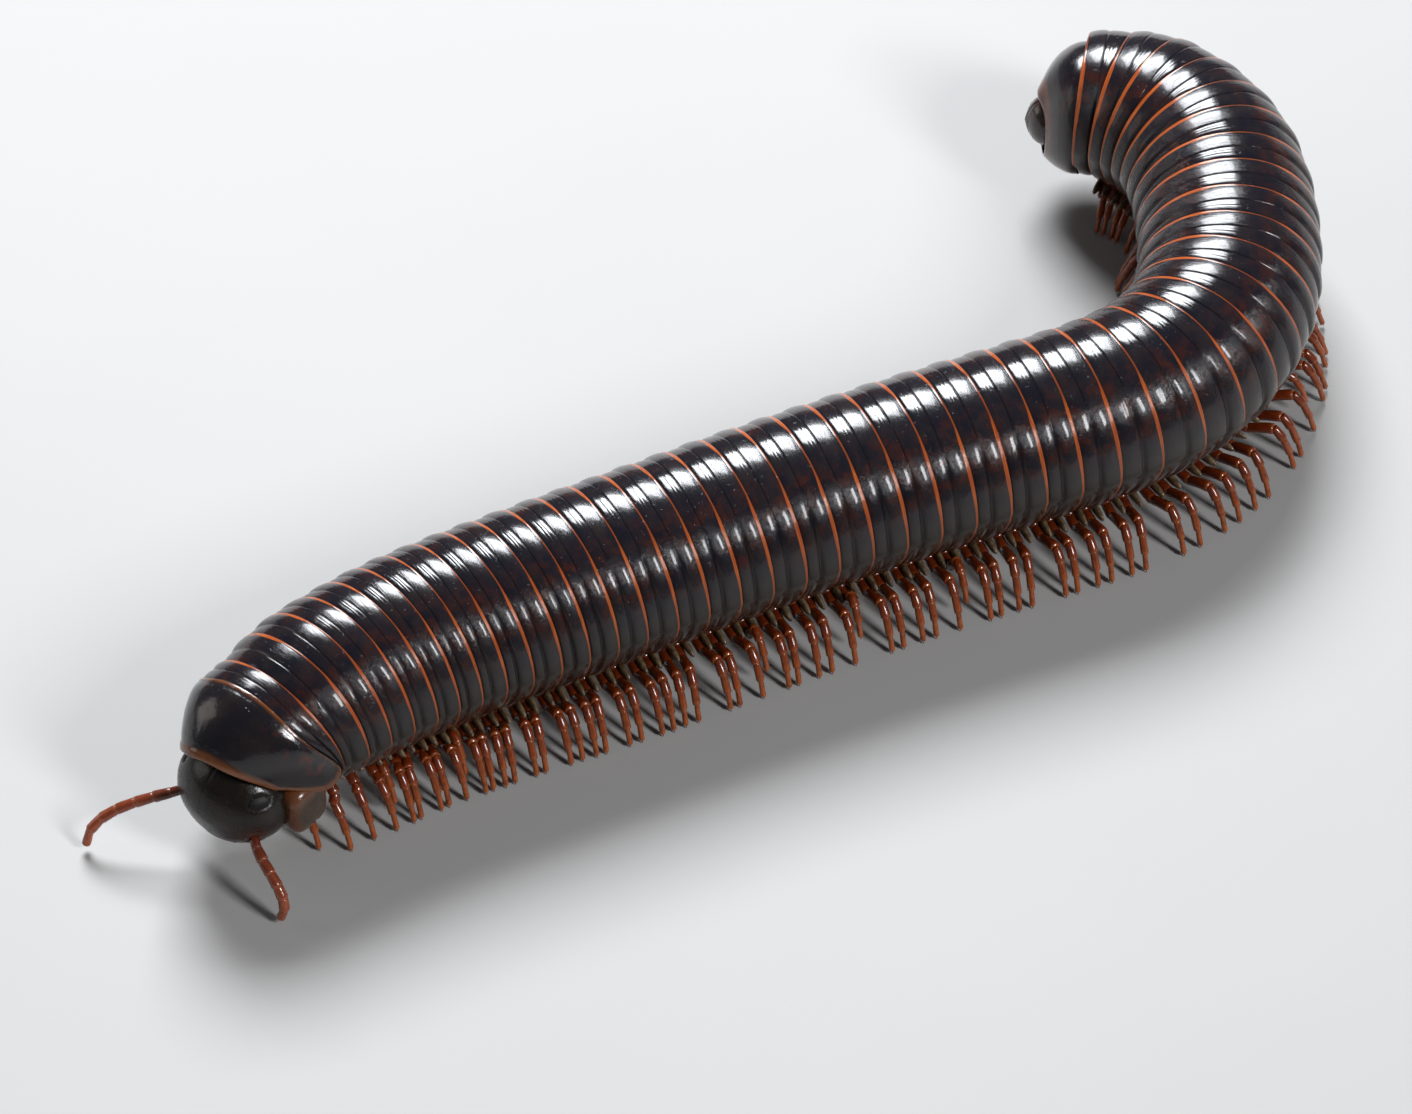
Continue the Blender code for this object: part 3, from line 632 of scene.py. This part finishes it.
def smooth_paint(name, dark, light, edge_colour, smoothest, roughest, coat, ior):
    """A smooth, cloudy shell, with a lighter edge where the mesh says so."""
    paint = Paint(name)
    place = paint.millimetres()
    cloud = paint.noise(place, 0.7, 5.0, 0.6, 0.3)
    colour = paint.tint(cloud, CLOUD_STOPS, dark, light)
    warm = paint.ramp(paint.noise(place, 1.3, 5.0, 0.62, 0.5), (0.5, 0.0), (0.72, 1.0))
    colour = paint.mix(paint.times(warm, paint.reading("warm")), colour, WARM_COLOUR)
    glow = paint.ramp(paint.noise(place, 2.4), (0.2, 0.75), (0.7, 1.0))
    paint.set(base_color=paint.mix(paint.times(paint.reading("edge"), glow), colour, edge_colour))
    fine = paint.noise(place, 8.0, 3.0)
    paint.set(roughness=paint.ramp(fine, (0.2, smoothest), (0.8, roughest)))
    normal = paint.bump(paint.noise(place, 1.1, 4.0, 0.6), 0.05)
    normal = paint.bump(fine, 0.008, normal)
    normal = paint.bump(paint.ramp(paint.noise(place, 4.5, 2.0), (0.26, 0.0), (0.36, 1.0)), 0.01, normal)
    paint.set(normal=normal, coat_weight=coat, coat_roughness=0.12, coat_ior=1.45, ior=ior)
    return paint.material


def limb_paint(name, root, middle, tip, joint):
    """Legs and antennae: a red-brown that lightens outward, with paler joints."""
    paint = Paint(name)
    place = paint.millimetres()
    blotch = paint.noise(place, 3.0, 4.0, 0.6)
    colour = paint.ramp(paint.reading("share"), (0.0, root), (0.5, middle), (1.0, tip))
    colour = paint.tint(blotch, ((0.45, 0.0), (0.7, 0.55)), colour, root)
    colour = paint.mix(paint.times(paint.reading("joint"), 0.45), colour, joint)
    fine = paint.noise(place, 16.0, 3.0)
    paint.set(base_color=colour, roughness=paint.ramp(fine, (0.2, 0.15), (0.8, 0.25)))
    paint.set(normal=paint.bump(fine, 0.008), coat_weight=0.4, coat_roughness=0.1, ior=1.38)
    paint.set(subsurface_weight=0.25, subsurface_radius=(0.0006, 0.0002, 0.0001), subsurface_scale=1.0)
    return paint.material


def plain_paint(name, dark, light, scale, depth, roughness, coat, ior):
    """A two-tone surface with fine relief."""
    paint = Paint(name)
    place = paint.millimetres()
    cloud = paint.noise(place, scale, 4.0, 0.6)
    paint.set(base_color=paint.tint(cloud, ((0.35, 0.0), (0.65, 1.0)), dark, light))
    paint.set(roughness=paint.ramp(cloud, (0.2, roughness), (0.8, min(roughness + 0.1, 1.0))))
    paint.set(normal=paint.bump(paint.noise(place, scale * 3.0, 3.0), depth), coat_weight=coat, ior=ior)
    return paint.material


def ring_rises(shares, angles, striation):
    """How high a ring stands over its radius, from its tucked front to under its rim."""
    flank = ease(np.degrees(np.abs(angles)), *FLANK_SPAN)
    back = smooth_through(BACK_RISES, shares)
    rises = back + (smooth_through(FLANK_RISES, shares) - back) * flank
    lo, hi = STRIA_SPAN
    inside = clamp((shares - lo) / (hi - lo))
    fine = np.sin(inside * STRIA_COUNT * 2.0 * math.pi) * np.sin(inside * math.pi) * (1.0 - 0.6 * flank)
    under = np.array([rise for _, rise in RIM_TURN])[:, None] + 0.0 * angles
    return np.concatenate([rises + STRIA_RISE * striation * fine, under])


def soft_floor(values, floor, softness=0.05):
    """The larger of a value and a floor, with the corner between them rounded."""
    gap = values - floor
    return floor + 0.5 * (gap + np.sqrt(gap * gap + softness * softness))


def ring_points(ring, scatter):
    """One ring, telescoped where the body bends, with the values its paint reads."""
    shares = RING_STATIONS[:, None]
    angles = RING_ANGLES
    rises = ring_rises(shares, angles, float(named_size(STRIATIONS, ring)))
    shares = np.concatenate([shares, [[place] for place, _ in RIM_TURN]])
    if ring == 1:
        rises = np.where((shares > 0.0) & (shares < SUTURE), rises * FIRST_RING_RISE, rises)
    start, end = MARGINS[ring - 1], MARGINS[ring]
    length = end - start
    swell = 1.0 + SWELL * scatter.uniform(-1.0, 1.0)
    number = ring - 1 + clamp(shares)
    radius = named_size(RADII, number) + rises * swell
    belly = named_size(BELLY, number)
    pinch = named_size(PINCH, number)
    up = soft_floor(np.cos(angles), -belly)
    side = np.sin(angles) * (1.0 + pinch * np.minimum(up, 0.0)) * radius
    stretch = 1.0 + bend(np.array((start + end) / 2.0)) * np.sin(angles) * radius.mean()
    hind = np.clip((1.0 - SUTURE) / stretch, *HIND_SHARES)
    back = np.where(
        shares < SUTURE,
        start + shares / SUTURE * (1.0 - hind) * length,
        end - (1.0 - shares) / (1.0 - SUTURE) * hind * length,
    )
    leaned = named_size(LEANS, number) * lean_at(angles) ** named_size(LEAN_POWERS, number)
    back = back + named_size(TOP_SHIFTS, number) + leaned + named_size(SWINGS, number) * np.sin(angles)
    height = axis_height(named_size(RADII, number)) + up * radius
    values = {
        "share": np.minimum(shares, 1.0),
        "turn": np.abs(angles) / math.pi,
        "lie": (angles + math.pi) / (2.0 * math.pi),
        "around": angles * BODY_RADIUS,
        "along": back,
        "lot": scatter.uniform(0.0, 50.0),
        "rim": 1.0,
    }
    return spots(back, side, height), values


def tube(path, radii, sides):
    """Rings of points round a path in metres; the radii are in millimetres."""
    tangents = np.gradient(path, axis=0)
    tangents /= np.linalg.norm(tangents, axis=1)[:, None]
    normal = np.cross(tangents[0], (0.0, 0.0, 1.0))
    if np.linalg.norm(normal) < 1e-6:
        normal = np.array((1.0, 0.0, 0.0))
    angles = round_about(sides)
    rows = []
    for point, tangent, radius in zip(path, tangents, radii):
        normal = normal - tangent * normal.dot(tangent)
        normal /= np.linalg.norm(normal)
        ring = np.cos(angles)[:, None] * normal + np.sin(angles)[:, None] * np.cross(tangent, normal)
        rows.append(point + ring * radius * MM)
    return np.array(rows)


def add_article(sheets, near, far, radius, shares, sides=12, bow=0.0):
    """One article of a limb: waisted at its root and wider at its far end."""
    path = near + (far - near) * ARTICLE_SHARES[:, None]
    path[:, 2] += bow * MM * np.sin(ARTICLE_SHARES * math.pi)
    joint = clamp(np.abs(ARTICLE_SHARES - 0.5) * 4.0 - 1.35)
    along = shares[0] + (shares[1] - shares[0]) * ARTICLE_SHARES
    grid = tube(path, radius * ARTICLE_WIDTHS, sides)
    sheets.grid(grid, "ball", share=along[:, None], joint=joint[:, None])


def add_spike(sheets, root, direction, length, width, sides=3):
    """A hair, a claw or a cone: thin and pointed; lengths in millimetres."""
    path = root + unit(direction) * length * MM * np.linspace(0.0, 1.0, len(SPIKE_WIDTHS))[:, None]
    grid = tube(path, width * SPIKE_WIDTHS, sides)
    sheets.grid(grid, "cap", chart=False, share=1.0)


def add_hairs(sheets, draws, near, far, radius, kind):
    """Short stiff hairs round one article."""
    count, places, (forward, outward), seat, lengths, width = kind
    span = far - near
    for _ in range(count):
        at = near + span * draws.uniform(*places)
        out = np.array([draws.uniform(-1.0, 1.0) for _ in range(3)])
        out = unit(out - span * out.dot(span) / span.dot(span))
        lean = unit(span) * forward + out * outward
        add_spike(sheets, at + out * radius * seat * MM, lean, draws.uniform(*lengths), width)


def along_ring(ring, share):
    """The distance along the axis of a share of a ring's length."""
    return MARGINS[ring - 1] + share * (MARGINS[ring] - MARGINS[ring - 1])


def belly_height(ring):
    """How high the belly hangs over the floor at a ring's rear margin."""
    radius = float(named_size(RADII, ring))
    return float(axis_height(radius) - named_size(BELLY, ring) * radius)


def stride(ring, side):
    """Where a ring's legs are in the wave along one side, from -1 to 1."""
    return math.sin(2.0 * math.pi * ring / WAVE_RINGS + (side - 1))


def leg_joints(ring, side, hip_place, foot_place, lift, middle, scatter):
    """The ends of a leg's articles in metres, from hip to claw; side is 1 for the left."""
    hip = along_ring(ring, hip_place) + side * HIP_TURN * float(named_size(SWINGS, ring))
    foot = along_ring(ring, foot_place) + WAVE_SWING * stride(ring, side)
    foot += scatter.uniform(-FOOT_JITTER, FOOT_JITTER)
    foot = middle + (foot - middle) * BUNCHING
    reach = float(named_size(FOOT_REACH, ring))
    turn = float(bend(foot)) * -side
    if turn > 0.0:
        reach = min(reach, INNER_REACH / turn)
    reach -= LIFT_REACH * lift
    radius = float(named_size(RADII, ring))
    belly = belly_height(ring)
    coxa = min(COXA_RISE + belly / 2.0, belly - COXA_CLEARANCE)
    outs = [share * radius for share in UPPER_ENDS] + [reach - back for back, _ in LOWER_ENDS]
    ups = [belly + HIP_SINK, (belly + coxa) / 2.0 + COXA_RISES[0], coxa + COXA_RISES[1]]
    ups += [up + share * LIFT * lift for (_, up), share in zip(LOWER_ENDS, LOWER_LIFTS)]
    return [spots(hip + s * (foot - hip), side * out, up) for s, out, up in zip(END_SHARES, outs, ups)]


def add_leg(sheets, joints, draws):
    """Six articles and a claw, with a few stiff hairs on the articles."""
    ends = np.linspace(0.0, 1.0, len(LEG_RADII) + 1)
    for k, radius in enumerate(LEG_RADII):
        near, far = joints[k], joints[k + 1]
        near = near + (near - far) * LEG_OVERLAP
        add_article(sheets, near, far, radius, ends[k:k + 2], bow=ARTICLE_BOW if k in BOWED_ARTICLES else 0.0)
    claw = joints[-1] - joints[-2]
    root = joints[-2] - unit(joints[-2] - joints[-3]) * CLAW_SINK * MM
    add_spike(sheets, root, claw, float(np.linalg.norm(claw)) / MM + CLAW_POINT, CLAW_WIDTH, sides=8)
    for k in range(1, len(LEG_RADII)):
        add_hairs(sheets, draws, joints[k], joints[k + 1], LEG_RADII[k], LEG_HAIRS)


def add_pad(sheets, middle, half_sizes, angle, slot):
    """A small rounded pad, turned with the body; sizes along, across and up."""
    along, across, up = np.moveaxis(ball(7, 12, 0.12) * half_sizes, -1, 0)
    x = along * math.cos(angle) + across * math.sin(angle)
    y = along * math.sin(angle) - across * math.cos(angle)
    sheets.grid(middle + np.stack([x, y, up], -1) * MM, "ball", slot=slot)


def add_hip_plate(sheets, ring, hip_place):
    """The plate that a pair of legs grows from, and the folds of membrane beside it."""
    at = along_ring(ring, hip_place)
    radius = float(named_size(RADII, ring))
    up = belly_height(ring) + PLATE_SINK
    angle = float(headings(at))
    length, width, height = PLATE_SIZES
    add_pad(sheets, spots(at, 0.0, up), (length, width * radius, height), angle, 2)
    length, width, height = FOLD_SIZES
    for side in (1, -1):
        spot = spots(at + FOLD_PLACE[0], side * FOLD_PLACE[1] * radius, up)
        add_pad(sheets, spot, (length, width * radius, height), angle, 1)


def add_legs(sheets, ring, middle, scatter, hairs):
    """The legs of one ring, with the plates and membranes between their hips."""
    places = list(zip(HIP_PLACES, FOOT_PLACES))
    if ring <= len(SINGLE_HIP_PLACES):
        places = [(SINGLE_HIP_PLACES[ring - 1], SINGLE_FOOT_PLACE)]
    for pair, (hip_place, foot_place) in enumerate(places):
        for side in (1, -1):
            lift = 1.0 if pair == 1 and stride(ring, side) > LIFTED_PHASE else 0.0
            joints = leg_joints(ring, side, hip_place, foot_place, lift, middle, scatter)
            add_leg(sheets, joints, hairs)
        add_hip_plate(sheets, ring, hip_place)


def build_trunk(shell, *leg_paints):
    """The trunk's rings and legs, a piece of each for each length of it."""
    swells, scatter, hairs = (random.Random(seed) for seed in (SEED, LEG_SEED, SEED + 1))
    first = 1
    for number, last in enumerate(TRUNK_ENDS, 1):
        rings = Sheets(*SHELL_VALUES)
        legs = Sheets("share", "joint")
        middle = (MARGINS[first - 1] + MARGINS[last]) / 2.0
        for ring in range(first, last + 1):
            points, values = ring_points(ring, swells)
            rings.grid(points, "tube", **values)
            if ring <= LAST_LEG_RING:
                add_legs(legs, ring, middle, scatter, hairs)
        rings.place(f"rings_{number:02d}", [shell], "shell", f"trunk_{number:02d}", rows=last - first + 2)
        legs.place(f"legs_{number:02d}", leg_paints, "shell")
        first = last + 1


def build_collum(paint, rows=46, columns=121):
    """The neck's shield: its outer face from rear to front, and its inner face back."""
    outer = np.linspace(0.0, 1.0, rows)
    outer = outer + 0.04 * np.sin(outer * 2.0 * math.pi) / math.pi
    shares = np.concatenate([outer, outer[::-1]])[:, None]
    depth = np.repeat((0.0, 1.0), rows)[:, None]
    across = np.linspace(-1.0, 1.0, columns)[None, :]
    across = np.sin(across * math.pi / 2.0) * 0.35 + across * 0.65
    arches = np.array(COLLUM_ARCHES)
    place, radius, height, lean, power, swing = (
        smooth_through(arches[:, (0, k)], shares) for k in range(1, arches.shape[1])
    )
    span = np.radians(smooth_through(COLLUM_SPANS, shares))
    angles = span * across
    turned = np.degrees(np.abs(angles)) / 45.0
    to_rear = shares * COLLUM_DEPTH
    to_edge = np.minimum((1.0 - shares) * COLLUM_DEPTH, (1.0 - np.abs(across)) * span * radius)
    rise = ridges(to_edge, *COLLUM_LIP) + ridges(to_rear, *COLLUM_REAR_RIM)
    rise = rise + COLLUM_SHOULDER * to_rear / SHOULDER_REACH * np.exp(1.0 - to_rear / SHOULDER_REACH)
    rounding = clamp(np.minimum(to_edge, to_rear) / COLLUM_ROUNDING) ** 0.5
    radius = radius + rise * (1.0 - depth) - COLLUM_THICKNESS * rounding * depth
    back = place + lean * lean_at(angles) ** power + swing * np.sin(angles)
    points = spots(back, radius * np.sin(angles), height + radius * np.cos(angles))
    edge = clamp(1.15 - to_edge / 0.42)
    rim = clamp(1.2 - to_rear / 0.16) * np.clip(1.6 - turned, 0.25, 1.0)
    warm = clamp(turned - 0.4) * clamp(1.6 - to_rear / 1.2)
    sheets = Sheets("edge", "warm")
    sheets.grid(points, edge=np.maximum(edge, rim), warm=warm)
    sheets.place("collum_shield", [paint], "shell", "collum", rows=1)


def in_head(points):
    """Turns millimetres ahead, to the left and up from the head's middle into places in metres."""
    place = Matrix.Translation(Vector(spots(HEAD_BACK, 0.0, HEAD_HEIGHT)))
    turned = Matrix.Rotation(float(headings(HEAD_BACK)) + math.pi, 4, "Z")
    matrix = np.array(place @ turned @ Matrix.Scale(MM, 4))
    return points @ matrix[:3, :3].T + matrix[:3, 3]


def head_points(directions):
    """The points of the head's egg in unit directions from its middle."""
    ahead, side, up = np.moveaxis(directions, -1, 0)
    x = ahead * np.where(ahead > 0.0, HEAD_FRONT, HEAD_REAR)
    z = up * np.where(up > 0.0, HEAD_CROWN, HEAD_CHIN)
    narrow = 1.0 - HEAD_TAPER * np.maximum(-up, 0.0) ** 2
    return np.stack([x, side * (HEAD_HALF_WIDTH * narrow), z], -1)


def surface_frame(spot):
    """A place on the head's surface, with its level, upright and outward directions."""
    base = head_points(unit(spot))
    ahead, above = (
        head_points(unit(spot + step)) - head_points(unit(spot - step))
        for step in np.array(((0.02, 0.0, 0.0), (0.0, 0.0, 0.02)))
    )
    outward = unit(np.cross(ahead, above))
    if outward.dot(base) < 0.0:
        outward = -outward
    level = unit(np.cross((0.0, 0.0, 1.0), outward))
    upright = np.cross(outward, level)
    return base, level, upright, outward


def mirrored(spot, side):
    return (spot[0], spot[1] * side, spot[2])


def build_head(paint):
    """The smooth head capsule, with its seam, lip, eye beds and antennal sockets."""
    base = head_points(ball(90, 150, 0.04))
    ahead, side, up = np.moveaxis(base, -1, 0)
    front = clamp(ahead / 0.8)
    from_lip = up - LIP_HEIGHT - ridges(side, LIP_NOTCH)
    rise = ridges(side, FACE_SEAM) * clamp((up + 0.2) * 2.0) * front
    rise += ridges(from_lip, *LIP_RIDGES) * front
    rise += ridges(up, FACE_HOLLOW) * bell(side, FACE_HALF_WIDTH) * front
    edge = 0.8 * clamp((-up - 1.45) / 0.7)
    for sign in (1, -1):
        eye, level, upright, outward = surface_frame(mirrored(EYE_PLACE, sign))
        offset = base - eye
        across = offset @ level / (EYE_HALF_SIZES[0] + EYE_MARGIN)
        tall = offset @ upright / (EYE_HALF_SIZES[1] + EYE_MARGIN)
        span = np.sqrt(across**2 + tall**2 + (offset @ outward / 1.2) ** 2)
        rise += ridges(span, EYE_GROOVE) - EYE_BED * clamp((1.0 - span) / 0.12)
        far = np.linalg.norm(base - surface_frame(mirrored(ANTENNA_PLACE, sign))[0], axis=-1)
        rise += ridges(far, *SOCKET_RIDGES)
        edge = np.maximum(edge, ridges(far, SOCKET_EDGE))
    length = np.linalg.norm(base, axis=-1, keepdims=True)
    points = in_head(base * (1.0 + rise[..., None] / length))
    sheets = Sheets("edge", "warm")
    warm = clamp(-up / 2.0 + 0.2)
    sheets.grid(points, "ball", edge=edge, warm=warm)
    sheets.place("head_capsule", [paint], "head_shell", "head", rows=1)


def dome(middle, level, upright, outward, radius, height, rows=5, columns=10):
    """A small lens: half a ball, flattened."""
    lift = np.linspace(0.0, math.pi / 2.0 * 0.93, rows)[:, None]
    around = round_about(columns)
    out = np.cos(lift) * radius
    points = (out * np.cos(around))[..., None] * level + (out * np.sin(around))[..., None] * upright
    return middle + points + (np.sin(lift) * height + 0.0 * around)[..., None] * outward


def build_eyes(lens, patch):
    """Each eye is an oval patch with small lenses in rows."""
    long, tall = EYE_HALF_SIZES
    for sign, word in SIDES:
        eye, level, upright, outward = surface_frame(mirrored(EYE_PLACE, sign))
        sheets = Sheets()
        eye = eye - outward * EYE_SINK
        base = dome(eye, level * long, upright * tall, outward, 1.0, EYE_BULGE, 8, 40)
        sheets.grid(in_head(base), "cap", slot=1)
        for row in range(-3, 4):
            for column in range(-5, 6):
                x = (column + 0.5 * (row % 2)) * LENS_PITCH
                y = row * LENS_PITCH * LENS_ROW_SHARE
                inside = (x / (long - LENS_MARGINS[0])) ** 2 + (y / (tall - LENS_MARGINS[1])) ** 2
                if inside > 1.0:
                    continue
                bulge = EYE_BULGE * math.sqrt(1.0 - 0.8 * inside) - LENS_SINK
                middle = eye + level * x + upright * y + outward * bulge
                points = dome(middle, level, upright, outward, LENS_RADIUS, LENS_RISE)
                sheets.grid(in_head(points), "cap")
        sheets.place(f"eye_patch_{word}", [lens, patch], "eye", f"eye_{word}")


def oval(place, half_sizes, rows=40, columns=64):
    """The directions and points of an egg in the head's frame."""
    directions = ball(rows, columns, 0.05)
    return directions, directions * half_sizes + place


def build_cheeks(paint):
    """The bases of the jaws: a squared plate with a groove across it, and a lobe below."""
    for sign, word in SIDES:
        middle = mirrored(CHEEK_PLACE, sign)
        directions, base = oval(middle, CHEEK_HALF_SIZES)
        ahead, up = directions[..., 0], directions[..., 2]
        rise = ridges(ahead + 0.2 * up, CHEEK_GROOVE)
        rise = rise + ridges(ahead, CHEEK_CORNER) * bell(up + CHEEK_CORNER[1], CHEEK_CORNER[2])
        box = np.sum(np.abs(directions) ** CHEEK_SQUARENESS, axis=-1) ** (-1.0 / CHEEK_SQUARENESS)
        points = middle + (base - middle) * (box * CHEEK_TRIM)[..., None] + directions * rise[..., None]
        edge = clamp(np.sqrt(ahead**2 + up**2) * 1.6 - 0.9)
        sheets = Sheets("edge", "warm")
        sheets.grid(in_head(points), "ball", edge=edge, warm=0.5)
        _, lobe = oval(mirrored(JAW_LOBE_PLACE, sign), JAW_LOBE_HALF_SIZES, 16, 24)
        sheets.grid(in_head(lobe), "ball", edge=1.0, warm=1.0)
        sheets.place(f"jaw_base_{word}", [paint], "cheek_shell", f"cheek_{word}", rows=1)


def build_chin(paint):
    """The plate under the mouth, with its grooves and small palps."""
    directions, base = oval(CHIN_PLACE, CHIN_HALF_SIZES, 44, 80)
    ahead, side = directions[..., 0], directions[..., 1]
    rise = ridges(side, CHIN_SEAM) + ridges(np.abs(side) - 0.15 * ahead, CHIN_SIDE_GROOVE)
    rise += ridges(ahead, CHIN_CROSS_GROOVE)
    points = base + directions * rise[..., None]
    sheets = Sheets("edge", "warm")
    edge = clamp(ahead * 1.4 - 0.5)
    sheets.grid(in_head(points), "ball", edge=edge, warm=0.4)
    for sign in (1, -1):
        for out, size in PALPS:
            place = (PALP_PLACE[0], sign * out, PALP_PLACE[1])
            _, palp = oval(place, (size, size * 0.8, size * 0.8), 12, 16)
            sheets.grid(in_head(palp), "ball", edge=1.0, warm=0.0)
    sheets.place("mouth_plate", [paint], "cheek_shell", "chin_plate")


def bezier(stops, shares):
    a, b, c, d = stops
    t = shares[:, None]
    r = 1.0 - t
    return a * r**3 + b * 3.0 * r**2 * t + c * 3.0 * r * t**2 + d * t**3


def build_antenna(word, sign, stops, paint):
    """Seven club-shaped articles from the head's socket, with short hairs and four cones at the tip."""
    base, _, _, outward = surface_frame(mirrored(ANTENNA_PLACE, sign))
    root = base + outward * JOINT_GAP
    stops = [root + np.array(mirrored(s, sign)) for s in stops]
    stops[1] = root + outward * np.linalg.norm(stops[1] - root)
    stops[0] = base - outward * FEELER_ROOT
    marks = in_head(bezier(stops, np.linspace(0.0, 1.0, ARTICLES + 1)))
    draws = random.Random(SEED + 20 + sign)
    sheets = Sheets("share", "joint")
    for k, radius in enumerate(ARTICLE_RADII):
        near, far = marks[k], marks[k + 1]
        near = near + (near - far) * FEELER_OVERLAP
        add_article(sheets, near, far, radius, (k / ARTICLES, (k + 1) / ARTICLES), sides=20)
        add_hairs(sheets, draws, near, far, radius, FEELER_HAIRS)
    tip = unit(marks[-1] - marks[-2])
    side = unit(np.cross(tip, (0.0, 0.0, 1.0)))
    other = np.cross(tip, side)
    out, sink, length, width = CONES
    for x, y in ((1, 0), (-1, 0), (0, 1), (0, -1)):
        root = marks[-1] + (side * x + other * y) * out * MM - tip * sink * MM
        add_spike(sheets, root, tip, length, width, sides=7)
    sheets.place(f"feeler_{word}", [paint], "antenna", f"antenna_{word}")


def build_telson(shell, plate):
    """The tail's end: a rounded last ring with its two valves."""
    end = MARGINS[RING_COUNT]
    places = np.concatenate([np.linspace(-0.35, 2.0, 24), TELSON_TURN[0]])[:, None]
    radius = smooth_through(TELSON_PROFILE, places)
    radius[-2:, 0] -= TELSON_TURN[1]
    angles = RING_ANGLES
    reached = clamp(places / TELSON_PROFILE[-1][0])
    overhang = reached**2 * TELSON_OVERHANG * bell(angles, 0.5)
    up = axis_height(radius) + soft_floor(np.cos(angles), -TELSON_BELLY) * radius
    sheets = Sheets(*SHELL_VALUES)
    sheets.grid(
        spots(end + places + overhang, np.sin(angles) * radius, up), "tube", share=0.5 + 0.5 * reached,
        turn=np.abs(angles) / math.pi, around=angles * TELSON_RADIUS, along=places, lot=3.0, rim=0.25,
    )
    sheets.place("tail_cap", [shell], "shell", "telson", rows=1)
    middle = float(axis_height(TELSON_PROFILE[-1][1]))
    length, width, tall = VALVE_SIZES
    polar = np.linspace(0.0, math.pi / 2.0 * 0.97, 20)[:, None]
    turn = np.linspace(-math.pi / 2.0, math.pi / 2.0, 33)[None, :]
    out = VALVE_GAP + np.cos(polar) * width * np.cos(turn)
    back = end + VALVE_START + np.sin(polar) * length + ridges(out, VALVE_LIP) * np.cos(turn * 0.9)
    up = middle + np.cos(polar) * tall * np.sin(turn)
    for sign, word in SIDES:
        sheets = Sheets()
        sheets.grid(spots(back, sign * out, up))
        sheets.place(f"valve_{word}", [plate], "shell", f"anal_valve_{word}", rows=1)


def build_studio():
    """A pale floor and soft rectangular lights that face the animal."""
    sheets = Sheets()
    lines = np.linspace(-FLOOR_HALF, FLOOR_HALF, 13)
    x, y = np.meshgrid(lines, lines, indexing="ij")
    sheets.grid(np.stack([x, y, 0.0 * x], -1))
    paint = Paint("studio_floor")
    grain = paint.noise(paint.millimetres(), 0.02, 4.0)
    paint.set(base_color=paint.mix(grain, *FLOOR_COLOURS), roughness=0.6)
    floor = sheets.build("floor", [paint.material])
    if floor.data.polygons[0].normal.z < 0.0:
        floor.data.flip_normals()
    world = bpy.data.worlds.new("studio")
    world.use_nodes = True
    backdrop = world.node_tree.nodes["Background"]
    backdrop.inputs["Color"].default_value = SKY_COLOUR
    backdrop.inputs["Strength"].default_value = SKY_STRENGTH
    bpy.context.scene.world = world
    bpy.context.scene.view_settings.view_transform = "Standard"
    for name, place, sizes, watts, colour in LIGHTS:
        lamp = bpy.data.lights.new(name, "AREA")
        lamp.shape = "RECTANGLE"
        lamp.size, lamp.size_y = sizes
        lamp.energy = watts
        lamp.color = colour
        holder = bpy.data.objects.new(name, lamp)
        holder.location = place
        holder.rotation_euler = (Vector(LIGHTS_AIM) - Vector(place)).to_track_quat("-Z", "Y").to_euler()
        bpy.context.scene.collection.objects.link(holder)


def build_camera():
    """The camera stands where the photograph's stood."""
    lens = bpy.data.cameras.new("photo_camera")
    lens.sensor_width = SENSOR
    lens.lens = SENSOR * FOCAL_PIXELS / IMAGE_WIDTH
    lens.clip_start = 0.01
    lens.clip_end = 10.0
    camera = bpy.data.objects.new("photo_camera", lens)
    tilt = Matrix.Rotation(math.radians(90.0 - CAMERA_ELEVATION), 4, "X")
    roll = Matrix.Rotation(math.radians(-CAMERA_ROLL), 4, "Z")
    aim = Matrix.Translation(Vector((*CAMERA_AIM, 0.0)) * MM)
    camera.matrix_world = aim @ tilt @ roll @ Matrix.Translation((0.0, 0.0, CAMERA_DISTANCE * MM))
    bpy.context.scene.collection.objects.link(camera)
    bpy.context.scene.camera = camera


def main():
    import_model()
    shell = shell_paint()
    collum, head, jaw = (smooth_paint(*row) for row in SMOOTH_PAINTS)
    leg, feeler = (limb_paint(*row) for row in LIMB_PAINTS)
    membrane, plate, lens, patch, valve = (plain_paint(*row) for row in PLAIN_PAINTS)
    build_trunk(shell, leg, membrane, plate)
    build_collum(collum)
    build_head(head)
    build_eyes(lens, patch)
    build_cheeks(jaw)
    build_chin(jaw)
    build_antenna("left", 1, NEAR_ANTENNA, feeler)
    build_antenna("right", -1, FAR_ANTENNA, feeler)
    build_telson(shell, valve)
    build_studio()
    build_camera()


main()
